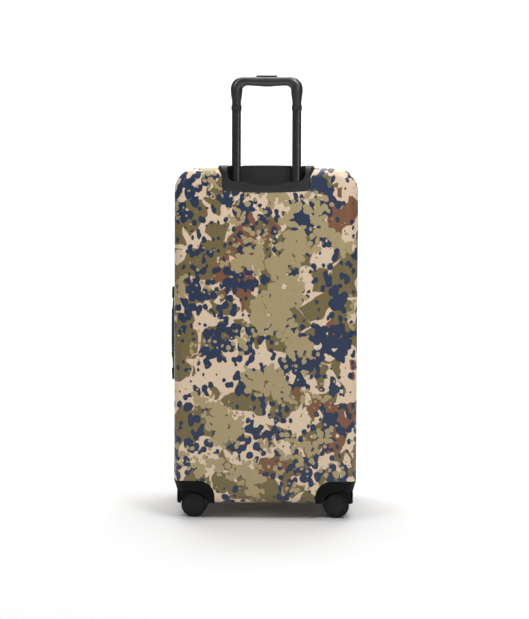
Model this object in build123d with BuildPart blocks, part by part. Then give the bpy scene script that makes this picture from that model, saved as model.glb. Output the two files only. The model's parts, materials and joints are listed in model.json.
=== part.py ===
"""Tall hard-shell spinner suitcase: two moulded halves, trolley, carry handles, lock and casters.

Frame: origin on the floor under the case's centre, +Z up, trolley side at -Y, hinge side at +X.
Millimetres throughout.
"""

import math
import os

from build123d import *

os.makedirs("parts", exist_ok=True)

# ---------------------------------------------------------------- case
CASE_WIDTH = 400
CASE_DEPTH = 350
CASE_BOTTOM = 35.5
CASE_TOP = 768
CORNER_RADIUS = 50          # corners seen from the trolley side
EDGE_RADIUS = 24            # rounding between the big faces and the sides
SHELL_WALL = 2.5
SEAM_HALF = 12              # each shell stops this far from the seam plane
CASE_MIDDLE = (CASE_TOP + CASE_BOTTOM) / 2
CASE_HEIGHT = CASE_TOP - CASE_BOTTOM
SIDE = CASE_WIDTH / 2
FACE = CASE_DEPTH / 2

# ---------------------------------------------------------------- zip and hinge tape
TAPE_THICK = 1.8
TAPE_HALF = 24
SEAM_CLEAR = 0.3
COIL_WIDTH = 3.2
COIL_RISE = 2.2
HINGE_PROUD = 2
HINGE_LOW = 100
HINGE_HIGH = 700
ZIP_PARK = 26               # where the two sliders meet, above the lock's middle
ZIP_SLIDER_LENGTH = 12
ZIP_SLIDER_WIDTH = 9
ZIP_TAB = 3.2               # how far above the side wall the pull tab lies
ZIP_TAB_LENGTH = 30
ZIP_TAB_WIDTH = 7
ZIP_TAB_THICK = 1.4
ZIP_CORNER = 3
ZIP_SPACE = 0.5             # half the space between the parked sliders

# ---------------------------------------------------------------- lining and straps
LINING_INSET = 5
LINING_THICK = 1.2
LINING_FLOOR = 139          # false floor that hides the trolley tubes, from the seam
LINING_CORNER_X = 108       # room that the lining leaves for a wheel housing
LINING_CORNER_Y = 108
LINING_CORNER_Z = 92
LINING_NOTCH_X = 110        # room that it leaves for the trolley housing
LINING_NOTCH_Y = 4
LINING_NOTCH_Z = 694
LOCK_ROOM = 3
STRAP_WIDTH = 38
STRAP_THICK = 1.5
STRAP_HEIGHTS = (270, 520)
STRAP_HALF_LENGTH = 172
BUCKLE_SIZE = (72, 48, 8)
BUCKLE_CORNER = 10
POCKET_HALF_WIDTH = 150
POCKET_LOW = 120
POCKET_HIGH = 520
POCKET_THICK = 2
POCKET_CORNER = 20

# ---------------------------------------------------------------- trolley
TUBE_SPACING = 131
TUBE_Y = -150
INNER_TUBE = (20, 13)
TUBE_WALL = 1.2
TUBE_CLEAR = 0.3
TUBE_CORNER = 4.5
INNER_TUBE_LOW = 420
OUTER_TUBE_LOW = 64
FOOT_SIZE = (190, 20)
FOOT_CORNER = 5
GRIP_TOP = 965
GRIP_BOTTOM = 903
GRIP_DEPTH = 26
GRIP_HALF_WIDTH = 78.5
GRIP_BAR = 20
GRIP_LEG_TOP = 27.5
GRIP_BOW = 1.5
GRIP_OUTER_RADIUS = 30
GRIP_INNER_RADIUS = 11
GRIP_EDGE = 5
FILLET_MARGIN = 0.5         # keeps a fillet shorter than the edge it ends on
COLLAR_HEIGHT = 10.7
COLLAR_WALL = 1.2
SOCKET_TOP = 941
BUTTON_SIZE = (46, 14)
BUTTON_PROUD = 2.5
BUTTON_CORNER = 3
BUTTON_BEVEL = 1
BUTTON_ROOM = 0.6           # play around the button in the grip's pocket
BUTTON_TRAVEL = 5
CHANNEL_LOW = 947.5
CHANNEL_HIGH = 957.5
CHANNEL_SPARE = 8           # how much longer than the tubes' spacing the channel is
CHANNEL_WIDTH = 9
LINK_HEIGHT = 4.8
LINK_SPARE = 6
LINK_WIDTH = 7
ROD_RADIUS = 2
ROD_ROOM = 1
ROD_LOW = 446
PLUNGER_Z = 438
PLUNGER_RADIUS = 2.5
PLUNGER_LENGTH = 7
RUNNING = 0.05

# ---------------------------------------------------------------- trolley housing
HOUSING_HALF_WIDTH = 104.5
HOUSING_TOP = 773
HOUSING_LOW = 709
HOUSING_BOW = 5
HOUSING_CORNER = 21
HOUSING_FRONT = -177.5      # proud of the trolley side
HOUSING_REAR = -100
HOUSING_TOP_RADIUS = 18
HOUSING_TOP_CORNER = 5
RECESS_HALF_WIDTH = 84.5
RECESS_FLOOR = 737
RECESS_REAR = -128
RECESS_CORNER = 18
PANEL_HALF_WIDTH = 62
PANEL_THICK = 5
PANEL_CORNER = 3
SCOOP_HALF_WIDTH = 50
SCOOP_DEPTH = 9
SCOOP_REAR = -152
UNDER_DEPTH = 30            # hollow under the scoop
UNDER_REAR = 10
WELL_SIZE = (30, 30)
WELL_FLOOR = 706
WELL_WALL = 3
WELL_CORNER = 4

# ---------------------------------------------------------------- carry handles
HANDLE_HALF_LENGTH = 103
BAR_HALF_LENGTH = 78
HANDLE_WIDTH = 28
HANDLE_PROUD = 11.5
HANDLE_BOW = 3
HANDLE_GAP = 5.2
HANDLE_CLEAR = 0.5
CAP_PROUD = 1               # how far an end cap stands out past the bar on each side
TOP_HANDLE_Y = -60
SIDE_HANDLE_Y = -88
SIDE_HANDLE_Z = 404.5

# ---------------------------------------------------------------- lock
LOCK_Y = -38
LOCK_PLATE = (78, 30)
LOCK_CASE = (70, 24)
LOCK_DEPTH = 12
LOCK_PROUD = 1.2
LOCK_CORNER = 6
DIAL_RADIUS = 7
DIAL_WIDTH = 5.4
DIAL_PITCH = 8
DIAL_SINK = 5.2             # how far the dial axis lies under the side wall
DIAL_PIN = 1.5
DIAL_START = -24
DIAL_ROOM = (0.8, 1)        # play along and across a dial
DIAL_BEVEL = 0.6
LATCH_SIZE = (12, 9)
LATCH_PROUD = 2
LATCH_U = 15
LATCH_TRAVEL = 5
LATCH_ROOM = 0.3

# ---------------------------------------------------------------- casters
SWIVEL_X = 146
SWIVEL_Y = 121
TRAIL = 10
CASTER_YAW = 4.5            # the parked casters stand turned a little towards each other
WHEEL_RADIUS = 27.75
HUB_RADIUS = 21.5
WHEEL_WIDTH = 15
WEB_HALF = 6
WHEEL_GAP = 0.5
HUB_SHY = 0.5               # how far the hub stays inside the tyre's outer face
HUB_FLOOR = 2.5             # material left between the axle's bore and that face
DISH = (19, 17.5, 0.8)      # ring groove in the hub's outer face: radii and depth
TREAD_EDGE = 2.5
AXLE_SHY = 3                # how far the axle ends inside the wheels' outer faces
AXLE_RADIUS = 3
KINGPIN_RADIUS = 4
KINGPIN_LOW = 48
KINGPIN_HIGH = 77
YOKE_DISC = 19
YOKE_LOW = 56.5
YOKE_HIGH = 63
YOKE_NECK = (30.4, 2)       # where the web joins the disc
AXLE_BOSS = 9
CAVITY_RADIUS = 43.5
CAVITY_TOP = 64
CUP_RADIUS = 46.5
CUP_TOP = 68
GUARD_TOP = 86
GUARD_STEP = 61
GUARD_INSET = 7
GUARD_X = 110
GUARD_Y = 90
GUARD_ARC = 34
ARCH_RADIUS = 33            # wheel arches in the guard's two outer faces
SIDE_ARCH_RADIUS = 32
GUARD_BOTTOM = 36
CORNERS = {
    "back_left": (-1, -1),
    "back_right": (1, -1),
    "front_left": (-1, 1),
    "front_right": (1, 1),
}
FAR = 400                   # longer than any cut needs


def save(piece, name):
    """Labels a finished piece and writes its STEP file."""
    piece.part.label = name
    export_step(piece.part, f"parts/{name}.step")


def wall_plane(y):
    """Plane parallel to the trolley side that faces out of it, at a given Y."""
    return Plane.XZ.offset(-y)


def seam_plane(end, distance):
    """Plane parallel to the seam, facing away from it. end is -1 at the trolley side, +1 at the front."""
    return Plane(origin=(0, end * distance, 0), x_dir=(-end, 0, 0), z_dir=(0, end, 0))


def half_block(end, inset, mouth, floor):
    """Solid rounded block of one half, its outline drawn in by inset."""
    with BuildPart() as block:
        with BuildSketch(seam_plane(end, mouth)):
            with Locations((0, CASE_MIDDLE)):
                RectangleRounded(CASE_WIDTH - 2 * inset, CASE_HEIGHT - 2 * inset, CORNER_RADIUS - inset)
        extrude(amount=floor - mouth)
        far_face = block.faces().sort_by(Axis.Y)[0 if end < 0 else -1]
        fillet(far_face.edges(), EDGE_RADIUS - inset)
    return block.part


def seam_ring(end, near, far, inset, thick):
    """Ring that follows the case outline, from near to far of the seam plane."""
    with BuildPart() as ring:
        with BuildSketch(seam_plane(end, near)):
            with Locations((0, CASE_MIDDLE)):
                RectangleRounded(CASE_WIDTH - 2 * inset, CASE_HEIGHT - 2 * inset, CORNER_RADIUS - inset)
                inner = inset + thick
                RectangleRounded(
                    CASE_WIDTH - 2 * inner,
                    CASE_HEIGHT - 2 * inner,
                    CORNER_RADIUS - inner,
                    mode=Mode.SUBTRACT,
                )
        extrude(amount=far - near)
    return ring.part


# ================================================================ wheel housings
# One tapered skirt follows the case outline at the height of the corner guards.
with BuildPart() as skirt:
    low_width = CASE_WIDTH - 2 * GUARD_INSET
    low_depth = CASE_DEPTH - 2 * GUARD_INSET
    with BuildSketch(Plane.XY.offset(GUARD_STEP)):
        RectangleRounded(low_width, low_depth, EDGE_RADIUS)
    with BuildSketch(Plane.XY.offset(GUARD_TOP)):
        RectangleRounded(CASE_WIDTH, CASE_DEPTH, EDGE_RADIUS)
    loft(ruled=True)
    with BuildSketch(Plane.XY.offset(GUARD_BOTTOM)):
        RectangleRounded(low_width, low_depth, EDGE_RADIUS)
    extrude(amount=GUARD_STEP - GUARD_BOTTOM)


def guard_profile(sign, reach, span):
    """Side view of a corner guard: flat top, rounded inner corner, straight inner edge."""
    arc_middle = GUARD_ARC * (1 - math.sqrt(0.5))
    with BuildSketch() as profile:
        with BuildLine():
            Polyline(
                (sign * (reach + GUARD_ARC), GUARD_TOP),
                (sign * span, GUARD_TOP),
                (sign * span, GUARD_BOTTOM),
                (sign * reach, GUARD_BOTTOM),
                (sign * reach, GUARD_TOP - GUARD_ARC),
            )
            ThreePointArc(
                (sign * reach, GUARD_TOP - GUARD_ARC),
                (sign * (reach + arc_middle), GUARD_TOP - arc_middle),
                (sign * (reach + GUARD_ARC), GUARD_TOP),
            )
        make_face()
    return profile.sketch


def housing_envelope(side, end):
    """The whole space that a wheel housing fills in its corner, with its cavity."""
    with BuildPart() as envelope:
        add(skirt.part)
        with BuildSketch(Plane.XZ):
            add(guard_profile(side, GUARD_X, FAR))
        extrude(amount=FAR, both=True, mode=Mode.INTERSECT)
        with BuildSketch(Plane.YZ):
            add(guard_profile(end, GUARD_Y, FAR))
        extrude(amount=FAR, both=True, mode=Mode.INTERSECT)
        with BuildSketch(Plane.XY.offset(GUARD_BOTTOM)):
            with Locations((side * SWIVEL_X, end * SWIVEL_Y)):
                Circle(CUP_RADIUS)
        extrude(amount=CUP_TOP - GUARD_BOTTOM)
    return envelope.part


def corner_cut(side, end):
    """What a shell gives up in one corner: everything outside the guard's edges, and the cup below it."""
    with BuildPart() as cut:
        with BuildSketch(Plane.XZ):
            add(guard_profile(side, GUARD_X, FAR))
        extrude(amount=FAR, both=True)
        with BuildSketch(Plane.YZ):
            add(guard_profile(end, GUARD_Y, FAR))
        extrude(amount=FAR, both=True, mode=Mode.INTERSECT)
        with BuildSketch(Plane.XY.offset(CUP_TOP)):
            with Locations((side * SWIVEL_X, end * SWIVEL_Y)):
                Circle(CUP_RADIUS)
        extrude(amount=-CUP_TOP)
        with BuildSketch(Plane.XY.offset(GUARD_BOTTOM)):
            with Locations((side * (GUARD_X + FAR), end * (GUARD_Y + FAR))):
                Rectangle(2 * FAR, 2 * FAR)
        extrude(amount=-GUARD_BOTTOM)
    return cut.part


envelopes = {}
for corner, (side, end) in CORNERS.items():
    envelopes[corner] = housing_envelope(side, end)
    with BuildPart() as wheel_housing:
        add(envelopes[corner])
        with BuildSketch(Plane.XY.offset(CAVITY_TOP)):
            with Locations((side * SWIVEL_X, end * SWIVEL_Y)):
                Circle(CAVITY_RADIUS)
        extrude(amount=-FAR, mode=Mode.SUBTRACT)
        with BuildSketch(Plane.XY.offset(CAVITY_TOP)):
            with Locations((side * SWIVEL_X, end * SWIVEL_Y)):
                Circle(KINGPIN_RADIUS)
        extrude(amount=KINGPIN_HIGH - CAVITY_TOP, mode=Mode.SUBTRACT)
        # arches that show the wheels from the end and from the side
        with BuildSketch(Plane.XZ):
            with Locations((side * (SWIVEL_X + TRAIL), WHEEL_RADIUS)):
                Circle(ARCH_RADIUS)
                with Locations((0, -ARCH_RADIUS)):
                    Rectangle(2 * ARCH_RADIUS, 2 * ARCH_RADIUS)
        extrude(amount=-end * FAR, mode=Mode.SUBTRACT)
        with BuildSketch(Plane.YZ.offset(side * (SWIVEL_X + TRAIL))):
            with Locations((end * SWIVEL_Y, WHEEL_RADIUS)):
                Circle(SIDE_ARCH_RADIUS)
                with Locations((0, -SIDE_ARCH_RADIUS)):
                    Rectangle(2 * SIDE_ARCH_RADIUS, 2 * SIDE_ARCH_RADIUS)
        extrude(amount=side * FAR, mode=Mode.SUBTRACT)
    save(wheel_housing, f"wheel_housing_{corner}")

for half, end in (("back", -1), ("front", 1)):
    with BuildPart() as kingpins:
        with BuildSketch(Plane.XY.offset(KINGPIN_LOW)):
            with Locations((-SWIVEL_X, end * SWIVEL_Y), (SWIVEL_X, end * SWIVEL_Y)):
                Circle(KINGPIN_RADIUS)
        extrude(amount=KINGPIN_HIGH - KINGPIN_LOW)
    save(kingpins, f"{half}_kingpins")

# ================================================================ trolley housing
# The block is what the housing fills. It is proud of the trolley side and of the top.
HOUSING_DEPTH = HOUSING_REAR - HOUSING_FRONT
with BuildPart() as housing_block:
    with BuildSketch(wall_plane(HOUSING_FRONT)) as front_view:
        with BuildLine():
            Polyline(
                (-HOUSING_HALF_WIDTH, HOUSING_LOW),
                (-HOUSING_HALF_WIDTH, HOUSING_TOP),
                (HOUSING_HALF_WIDTH, HOUSING_TOP),
                (HOUSING_HALF_WIDTH, HOUSING_LOW),
            )
            ThreePointArc(
                (HOUSING_HALF_WIDTH, HOUSING_LOW),
                (0, HOUSING_LOW - HOUSING_BOW),
                (-HOUSING_HALF_WIDTH, HOUSING_LOW),
            )
        make_face()
        fillet(front_view.vertices().group_by(Axis.Y)[0], HOUSING_CORNER)
        fillet(front_view.vertices().group_by(Axis.Y)[-1], HOUSING_TOP_CORNER)
    extrude(amount=-HOUSING_DEPTH)
    top_front = housing_block.edges().filter_by(Axis.X).group_by(Axis.Y)[0].sort_by(Axis.Z)[-1]
    fillet(top_front, HOUSING_TOP_RADIUS)

with BuildPart() as handle_housing:
    add(housing_block.part)
    with BuildSketch(Plane.XY.offset(WELL_FLOOR - WELL_WALL)):
        with Locations((-TUBE_SPACING / 2, TUBE_Y), (TUBE_SPACING / 2, TUBE_Y)):
            Rectangle(WELL_SIZE[0] + 2 * WELL_WALL, WELL_SIZE[1] + 2 * WELL_WALL)
    extrude(amount=RECESS_FLOOR - WELL_FLOOR)
    # hollow side rails, rear rim and underside
    void_low = WELL_FLOOR - 2 * WELL_WALL
    rail_middle = (RECESS_HALF_WIDTH + HOUSING_HALF_WIDTH) / 2
    rail_width = HOUSING_HALF_WIDTH - RECESS_HALF_WIDTH - 2 * WELL_WALL
    rail_depth = HOUSING_DEPTH - 2 * HOUSING_TOP_RADIUS
    rail_y = HOUSING_REAR - WELL_WALL - rail_depth / 2
    with BuildSketch(Plane.XY.offset(void_low)):
        with Locations((-rail_middle, rail_y), (rail_middle, rail_y)):
            Rectangle(rail_width, rail_depth)
    extrude(amount=HOUSING_TOP - WELL_WALL - void_low, mode=Mode.SUBTRACT)
    rim_depth = HOUSING_REAR - RECESS_REAR - 2 * WELL_WALL
    with BuildSketch(Plane.XY.offset(void_low)):
        with Locations((0, HOUSING_REAR - WELL_WALL - rim_depth / 2)):
            Rectangle(2 * RECESS_HALF_WIDTH, rim_depth)
    extrude(amount=HOUSING_TOP - WELL_WALL - void_low, mode=Mode.SUBTRACT)
    under_half = TUBE_SPACING / 2 - WELL_SIZE[0] / 2 - 2 * WELL_WALL
    with BuildSketch(Plane.XY.offset(void_low)):
        with Locations((0, SCOOP_REAR + UNDER_REAR)):
            Rectangle(2 * under_half, UNDER_DEPTH)
    extrude(amount=RECESS_FLOOR - SCOOP_DEPTH - WELL_WALL - void_low, mode=Mode.SUBTRACT)
    # the recess that the grip drops into, open to the top and to the trolley side
    with BuildSketch(wall_plane(RECESS_REAR)) as recess:
        with Locations((0, (RECESS_FLOOR + CASE_TOP + 2 * RECESS_CORNER) / 2)):
            RectangleRounded(
                2 * RECESS_HALF_WIDTH, CASE_TOP + 2 * RECESS_CORNER - RECESS_FLOOR, RECESS_CORNER
            )
    extrude(amount=FAR, mode=Mode.SUBTRACT)
    with BuildSketch(Plane.XY.offset(WELL_FLOOR)):
        with Locations((-TUBE_SPACING / 2, TUBE_Y), (TUBE_SPACING / 2, TUBE_Y)):
            RectangleRounded(*WELL_SIZE, WELL_CORNER)
    extrude(amount=RECESS_FLOOR - WELL_FLOOR + RECESS_CORNER, mode=Mode.SUBTRACT)
    with BuildSketch(Plane.XY.offset(void_low)):
        with Locations((-TUBE_SPACING / 2, TUBE_Y), (TUBE_SPACING / 2, TUBE_Y)):
            RectangleRounded(INNER_TUBE[0] + 2 * TUBE_CLEAR, INNER_TUBE[1] + 2 * TUBE_CLEAR, TUBE_CORNER)
    extrude(amount=RECESS_FLOOR - void_low, mode=Mode.SUBTRACT)
    # finger scoop in the lip
    with BuildSketch(wall_plane(SCOOP_REAR)):
        with BuildLine():
            Line((-SCOOP_HALF_WIDTH, RECESS_FLOOR), (SCOOP_HALF_WIDTH, RECESS_FLOOR))
            ThreePointArc(
                (SCOOP_HALF_WIDTH, RECESS_FLOOR),
                (0, RECESS_FLOOR - SCOOP_DEPTH),
                (-SCOOP_HALF_WIDTH, RECESS_FLOOR),
            )
        make_face()
    extrude(amount=FAR, mode=Mode.SUBTRACT)
    # raised panel on the recess's rear wall, between the tubes
    with BuildSketch(wall_plane(RECESS_REAR)):
        with Locations((0, (RECESS_FLOOR + CASE_TOP) / 2)):
            RectangleRounded(2 * PANEL_HALF_WIDTH, CASE_TOP - RECESS_FLOOR, PANEL_CORNER)
    extrude(amount=PANEL_THICK)
save(handle_housing, "handle_housing")

# ================================================================ shells
lock_plane = Plane(origin=(-SIDE, LOCK_Y, SIDE_HANDLE_Z), x_dir=(0, 0, 1), z_dir=(-1, 0, 0))

for half, end in (("back", -1), ("front", 1)):
    with BuildPart() as shell:
        add(half_block(end, 0, SEAM_HALF, FACE))
        add(half_block(end, SHELL_WALL, SEAM_HALF, FACE - SHELL_WALL), mode=Mode.SUBTRACT)
        for corner, (side, corner_end) in CORNERS.items():
            if corner_end == end:
                add(corner_cut(side, end), mode=Mode.SUBTRACT)
        if half == "back":
            add(housing_block.part, mode=Mode.SUBTRACT)
            with BuildSketch(lock_plane):
                Rectangle(*LOCK_CASE)
            extrude(amount=-2 * SHELL_WALL, mode=Mode.SUBTRACT)
    save(shell, f"{half}_shell")

# ================================================================ zip, hinge tape and lining
for half, end in (("back", -1), ("front", 1)):
    with BuildPart() as zipper:
        add(seam_ring(end, SEAM_CLEAR, TAPE_HALF, SHELL_WALL, TAPE_THICK))
        add(seam_ring(end, SEAM_CLEAR, COIL_WIDTH, SHELL_WALL - COIL_RISE, COIL_RISE))
        with BuildSketch(Plane.XY.offset(HINGE_LOW)):
            with Locations((SIDE, 0)):
                Rectangle(2 * SHELL_WALL, 2 * SEAM_HALF)
        extrude(amount=HINGE_HIGH - HINGE_LOW, mode=Mode.SUBTRACT)
        for corner, (side, corner_end) in CORNERS.items():
            if corner_end == end:
                add(envelopes[corner], mode=Mode.SUBTRACT)
    save(zipper, f"zipper_{half}")

with BuildPart() as hinge_gusset:
    with BuildSketch(Plane.XY.offset(HINGE_LOW)):
        with Locations((SIDE - SHELL_WALL, -SEAM_HALF)):
            Rectangle(SHELL_WALL + HINGE_PROUD, SEAM_HALF - SEAM_CLEAR, align=(Align.MIN, Align.MIN))
    extrude(amount=HINGE_HIGH - HINGE_LOW)
save(hinge_gusset, "hinge_gusset")


def lining_block(end, inset, floor):
    """Space inside one half that the lining wraps, kept clear of what sticks into the case."""
    margin = LINING_INSET - inset
    with BuildPart() as block:
        add(half_block(end, inset, SEAM_HALF, floor))
        for corner, (side, corner_end) in CORNERS.items():
            if corner_end == end:
                with BuildSketch(Plane.XY):
                    with Locations((side * SIDE, end * FACE)):
                        Rectangle(2 * (LINING_CORNER_X - margin), 2 * (LINING_CORNER_Y - margin))
                extrude(amount=LINING_CORNER_Z - margin, mode=Mode.SUBTRACT)
        if end < 0:
            with BuildSketch(Plane.XY.offset(LINING_NOTCH_Z + margin)):
                with Locations((0, -FACE)):
                    Rectangle(
                        2 * (LINING_NOTCH_X - margin),
                        2 * (FACE + HOUSING_REAR + LINING_NOTCH_Y - margin),
                    )
            extrude(amount=FAR, mode=Mode.SUBTRACT)
            with BuildSketch(lock_plane):
                Rectangle(LOCK_CASE[0] + 2 * (LOCK_ROOM - margin), LOCK_CASE[1] + 2 * (LOCK_ROOM - margin))
            extrude(amount=-(LOCK_DEPTH + LOCK_ROOM - margin), mode=Mode.SUBTRACT)
    return block.part


for half, end, floor in (("back", -1, LINING_FLOOR), ("front", 1, FACE - LINING_INSET)):
    with BuildPart() as lining:
        add(lining_block(end, LINING_INSET, floor))
        add(lining_block(end, LINING_INSET + LINING_THICK, floor - LINING_THICK), mode=Mode.SUBTRACT)
    save(lining, f"{half}_lining")

with BuildPart() as packing_straps:
    with BuildSketch(wall_plane(-LINING_FLOOR + 2 * LINING_THICK)):
        with Locations([(0, height) for height in STRAP_HEIGHTS]):
            Rectangle(2 * STRAP_HALF_LENGTH, STRAP_WIDTH)
    extrude(amount=-STRAP_THICK)
save(packing_straps, "packing_straps")

with BuildPart() as strap_buckles:
    with BuildSketch(wall_plane(-LINING_FLOOR + 2 * LINING_THICK + STRAP_THICK)):
        with Locations([(0, height) for height in STRAP_HEIGHTS]):
            RectangleRounded(BUCKLE_SIZE[0], BUCKLE_SIZE[1], BUCKLE_CORNER)
    extrude(amount=-BUCKLE_SIZE[2])
save(strap_buckles, "strap_buckles")

with BuildPart() as mesh_pocket:
    with BuildSketch(seam_plane(1, FACE - LINING_INSET - 2 * LINING_THICK)):
        with Locations((0, (POCKET_LOW + POCKET_HIGH) / 2)):
            RectangleRounded(2 * POCKET_HALF_WIDTH, POCKET_HIGH - POCKET_LOW, POCKET_CORNER)
    extrude(amount=-POCKET_THICK)
save(mesh_pocket, "mesh_pocket")

# ================================================================ lock and zip sliders
dial_heights = [DIAL_START + DIAL_PITCH * index for index in range(3)]
with BuildPart() as lock_body:
    with BuildSketch(lock_plane):
        RectangleRounded(*LOCK_PLATE, LOCK_CORNER)
    extrude(amount=LOCK_PROUD)
    with BuildSketch(lock_plane):
        Rectangle(*LOCK_CASE)
    extrude(amount=-LOCK_DEPTH)
    # room for the dials, which turn on one pin along the lock
    with BuildSketch(lock_plane):
        with Locations([(u, 0) for u in dial_heights]):
            Rectangle(DIAL_WIDTH + DIAL_ROOM[0], 2 * DIAL_RADIUS + DIAL_ROOM[1])
    extrude(amount=LOCK_PROUD, mode=Mode.SUBTRACT)
    with BuildSketch(lock_plane):
        with Locations([(u, 0) for u in dial_heights]):
            Rectangle(DIAL_WIDTH + DIAL_ROOM[0], 2 * DIAL_RADIUS + DIAL_ROOM[1])
    extrude(amount=-LOCK_DEPTH, mode=Mode.SUBTRACT)
    pin_plane = Plane(
        origin=(-SIDE + DIAL_SINK, LOCK_Y, SIDE_HANDLE_Z + DIAL_START - DIAL_PITCH / 2),
        z_dir=(0, 0, 1),
    )
    with BuildSketch(pin_plane):
        Circle(DIAL_PIN)
    extrude(amount=3 * DIAL_PITCH)
    # channel that the latch slides in
    with BuildSketch(lock_plane.offset(LOCK_PROUD)):
        with Locations((LATCH_U - LATCH_TRAVEL / 2, 0)):
            Rectangle(LATCH_SIZE[0] + LATCH_TRAVEL + 2 * LATCH_ROOM, LATCH_SIZE[1] + 2 * LATCH_ROOM)
    extrude(amount=-2 * LATCH_PROUD, mode=Mode.SUBTRACT)
save(lock_body, "lock_body")

for index, u in enumerate(dial_heights):
    dial_low = SIDE_HANDLE_Z + u - DIAL_WIDTH / 2
    with BuildPart() as lock_dial:
        with BuildSketch(Plane(origin=(-SIDE + DIAL_SINK, LOCK_Y, dial_low), z_dir=(0, 0, 1))):
            Circle(DIAL_RADIUS)
            Circle(DIAL_PIN + RUNNING, mode=Mode.SUBTRACT)
        extrude(amount=DIAL_WIDTH)
        outer_face = lock_dial.faces().filter_by(GeomType.CYLINDER).sort_by(SortBy.AREA)[-1]
        chamfer(outer_face.edges().filter_by(GeomType.CIRCLE), DIAL_BEVEL)
    save(lock_dial, f"lock_dial_{index + 1}")

with BuildPart() as lock_latch:
    with BuildSketch(lock_plane.offset(-2 * LATCH_PROUD + LOCK_PROUD + LATCH_ROOM)):
        with Locations((LATCH_U, 0)):
            Rectangle(*LATCH_SIZE)
    extrude(amount=3 * LATCH_PROUD - LOCK_PROUD - LATCH_ROOM)
save(lock_latch, "lock_latch")

for name, direction in (("upper", 1), ("lower", -1)):
    tab_u = direction * (ZIP_SLIDER_LENGTH / 2 + ZIP_SPACE)
    slider_plane = Plane(
        origin=(-SIDE, 0, SIDE_HANDLE_Z + ZIP_PARK + tab_u),
        x_dir=(0, 0, 1),
        z_dir=(-1, 0, 0),
    )
    with BuildPart() as zip_slider:
        with BuildSketch(slider_plane.offset(SEAM_CLEAR)):
            RectangleRounded(ZIP_SLIDER_LENGTH, ZIP_SLIDER_WIDTH, ZIP_CORNER)
        extrude(amount=ZIP_TAB - SEAM_CLEAR)
        with BuildSketch(slider_plane.offset(ZIP_TAB)):
            with Locations((0, -ZIP_TAB_LENGTH / 2 + ZIP_TAB_WIDTH / 2)):
                RectangleRounded(ZIP_TAB_WIDTH, ZIP_TAB_LENGTH, ZIP_CORNER)
        extrude(amount=ZIP_TAB_THICK)
    save(zip_slider, f"zip_slider_{name}")

# ================================================================ trolley
tube_centres = [(-TUBE_SPACING / 2, TUBE_Y), (TUBE_SPACING / 2, TUBE_Y)]
bore_size = (INNER_TUBE[0] + 2 * TUBE_CLEAR, INNER_TUBE[1] + 2 * TUBE_CLEAR)
outer_size = (bore_size[0] + 2 * TUBE_WALL, bore_size[1] + 2 * TUBE_WALL)

with BuildPart() as outer_tubes:
    with BuildSketch(Plane.XY.offset(OUTER_TUBE_LOW)):
        with Locations(tube_centres):
            RectangleRounded(*outer_size, TUBE_CORNER + TUBE_WALL)
            RectangleRounded(*bore_size, TUBE_CORNER, mode=Mode.SUBTRACT)
    extrude(amount=WELL_FLOOR - WELL_WALL - OUTER_TUBE_LOW)
save(outer_tubes, "outer_tubes")

with BuildPart() as tube_foot:
    with BuildSketch(Plane.XY.offset(CASE_BOTTOM + SHELL_WALL)):
        with Locations((0, TUBE_Y)):
            RectangleRounded(*FOOT_SIZE, FOOT_CORNER)
    extrude(amount=OUTER_TUBE_LOW - CASE_BOTTOM - SHELL_WALL)
    add(half_block(-1, SHELL_WALL, SEAM_HALF, FACE - SHELL_WALL), mode=Mode.INTERSECT)
save(tube_foot, "tube_foot")

with BuildPart() as inner_tubes:
    with BuildSketch(Plane.XY.offset(INNER_TUBE_LOW)):
        with Locations(tube_centres):
            RectangleRounded(*INNER_TUBE, TUBE_CORNER)
            RectangleRounded(
                INNER_TUBE[0] - 2 * TUBE_WALL,
                INNER_TUBE[1] - 2 * TUBE_WALL,
                TUBE_CORNER - TUBE_WALL,
                mode=Mode.SUBTRACT,
            )
    extrude(amount=SOCKET_TOP - INNER_TUBE_LOW)
    # side holes for the lock plungers
    with BuildSketch(Plane.YZ):
        with Locations((TUBE_Y, PLUNGER_Z)):
            Circle(PLUNGER_RADIUS + RUNNING)
    extrude(amount=TUBE_SPACING, both=True, mode=Mode.SUBTRACT)
save(inner_tubes, "inner_tubes")

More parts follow.
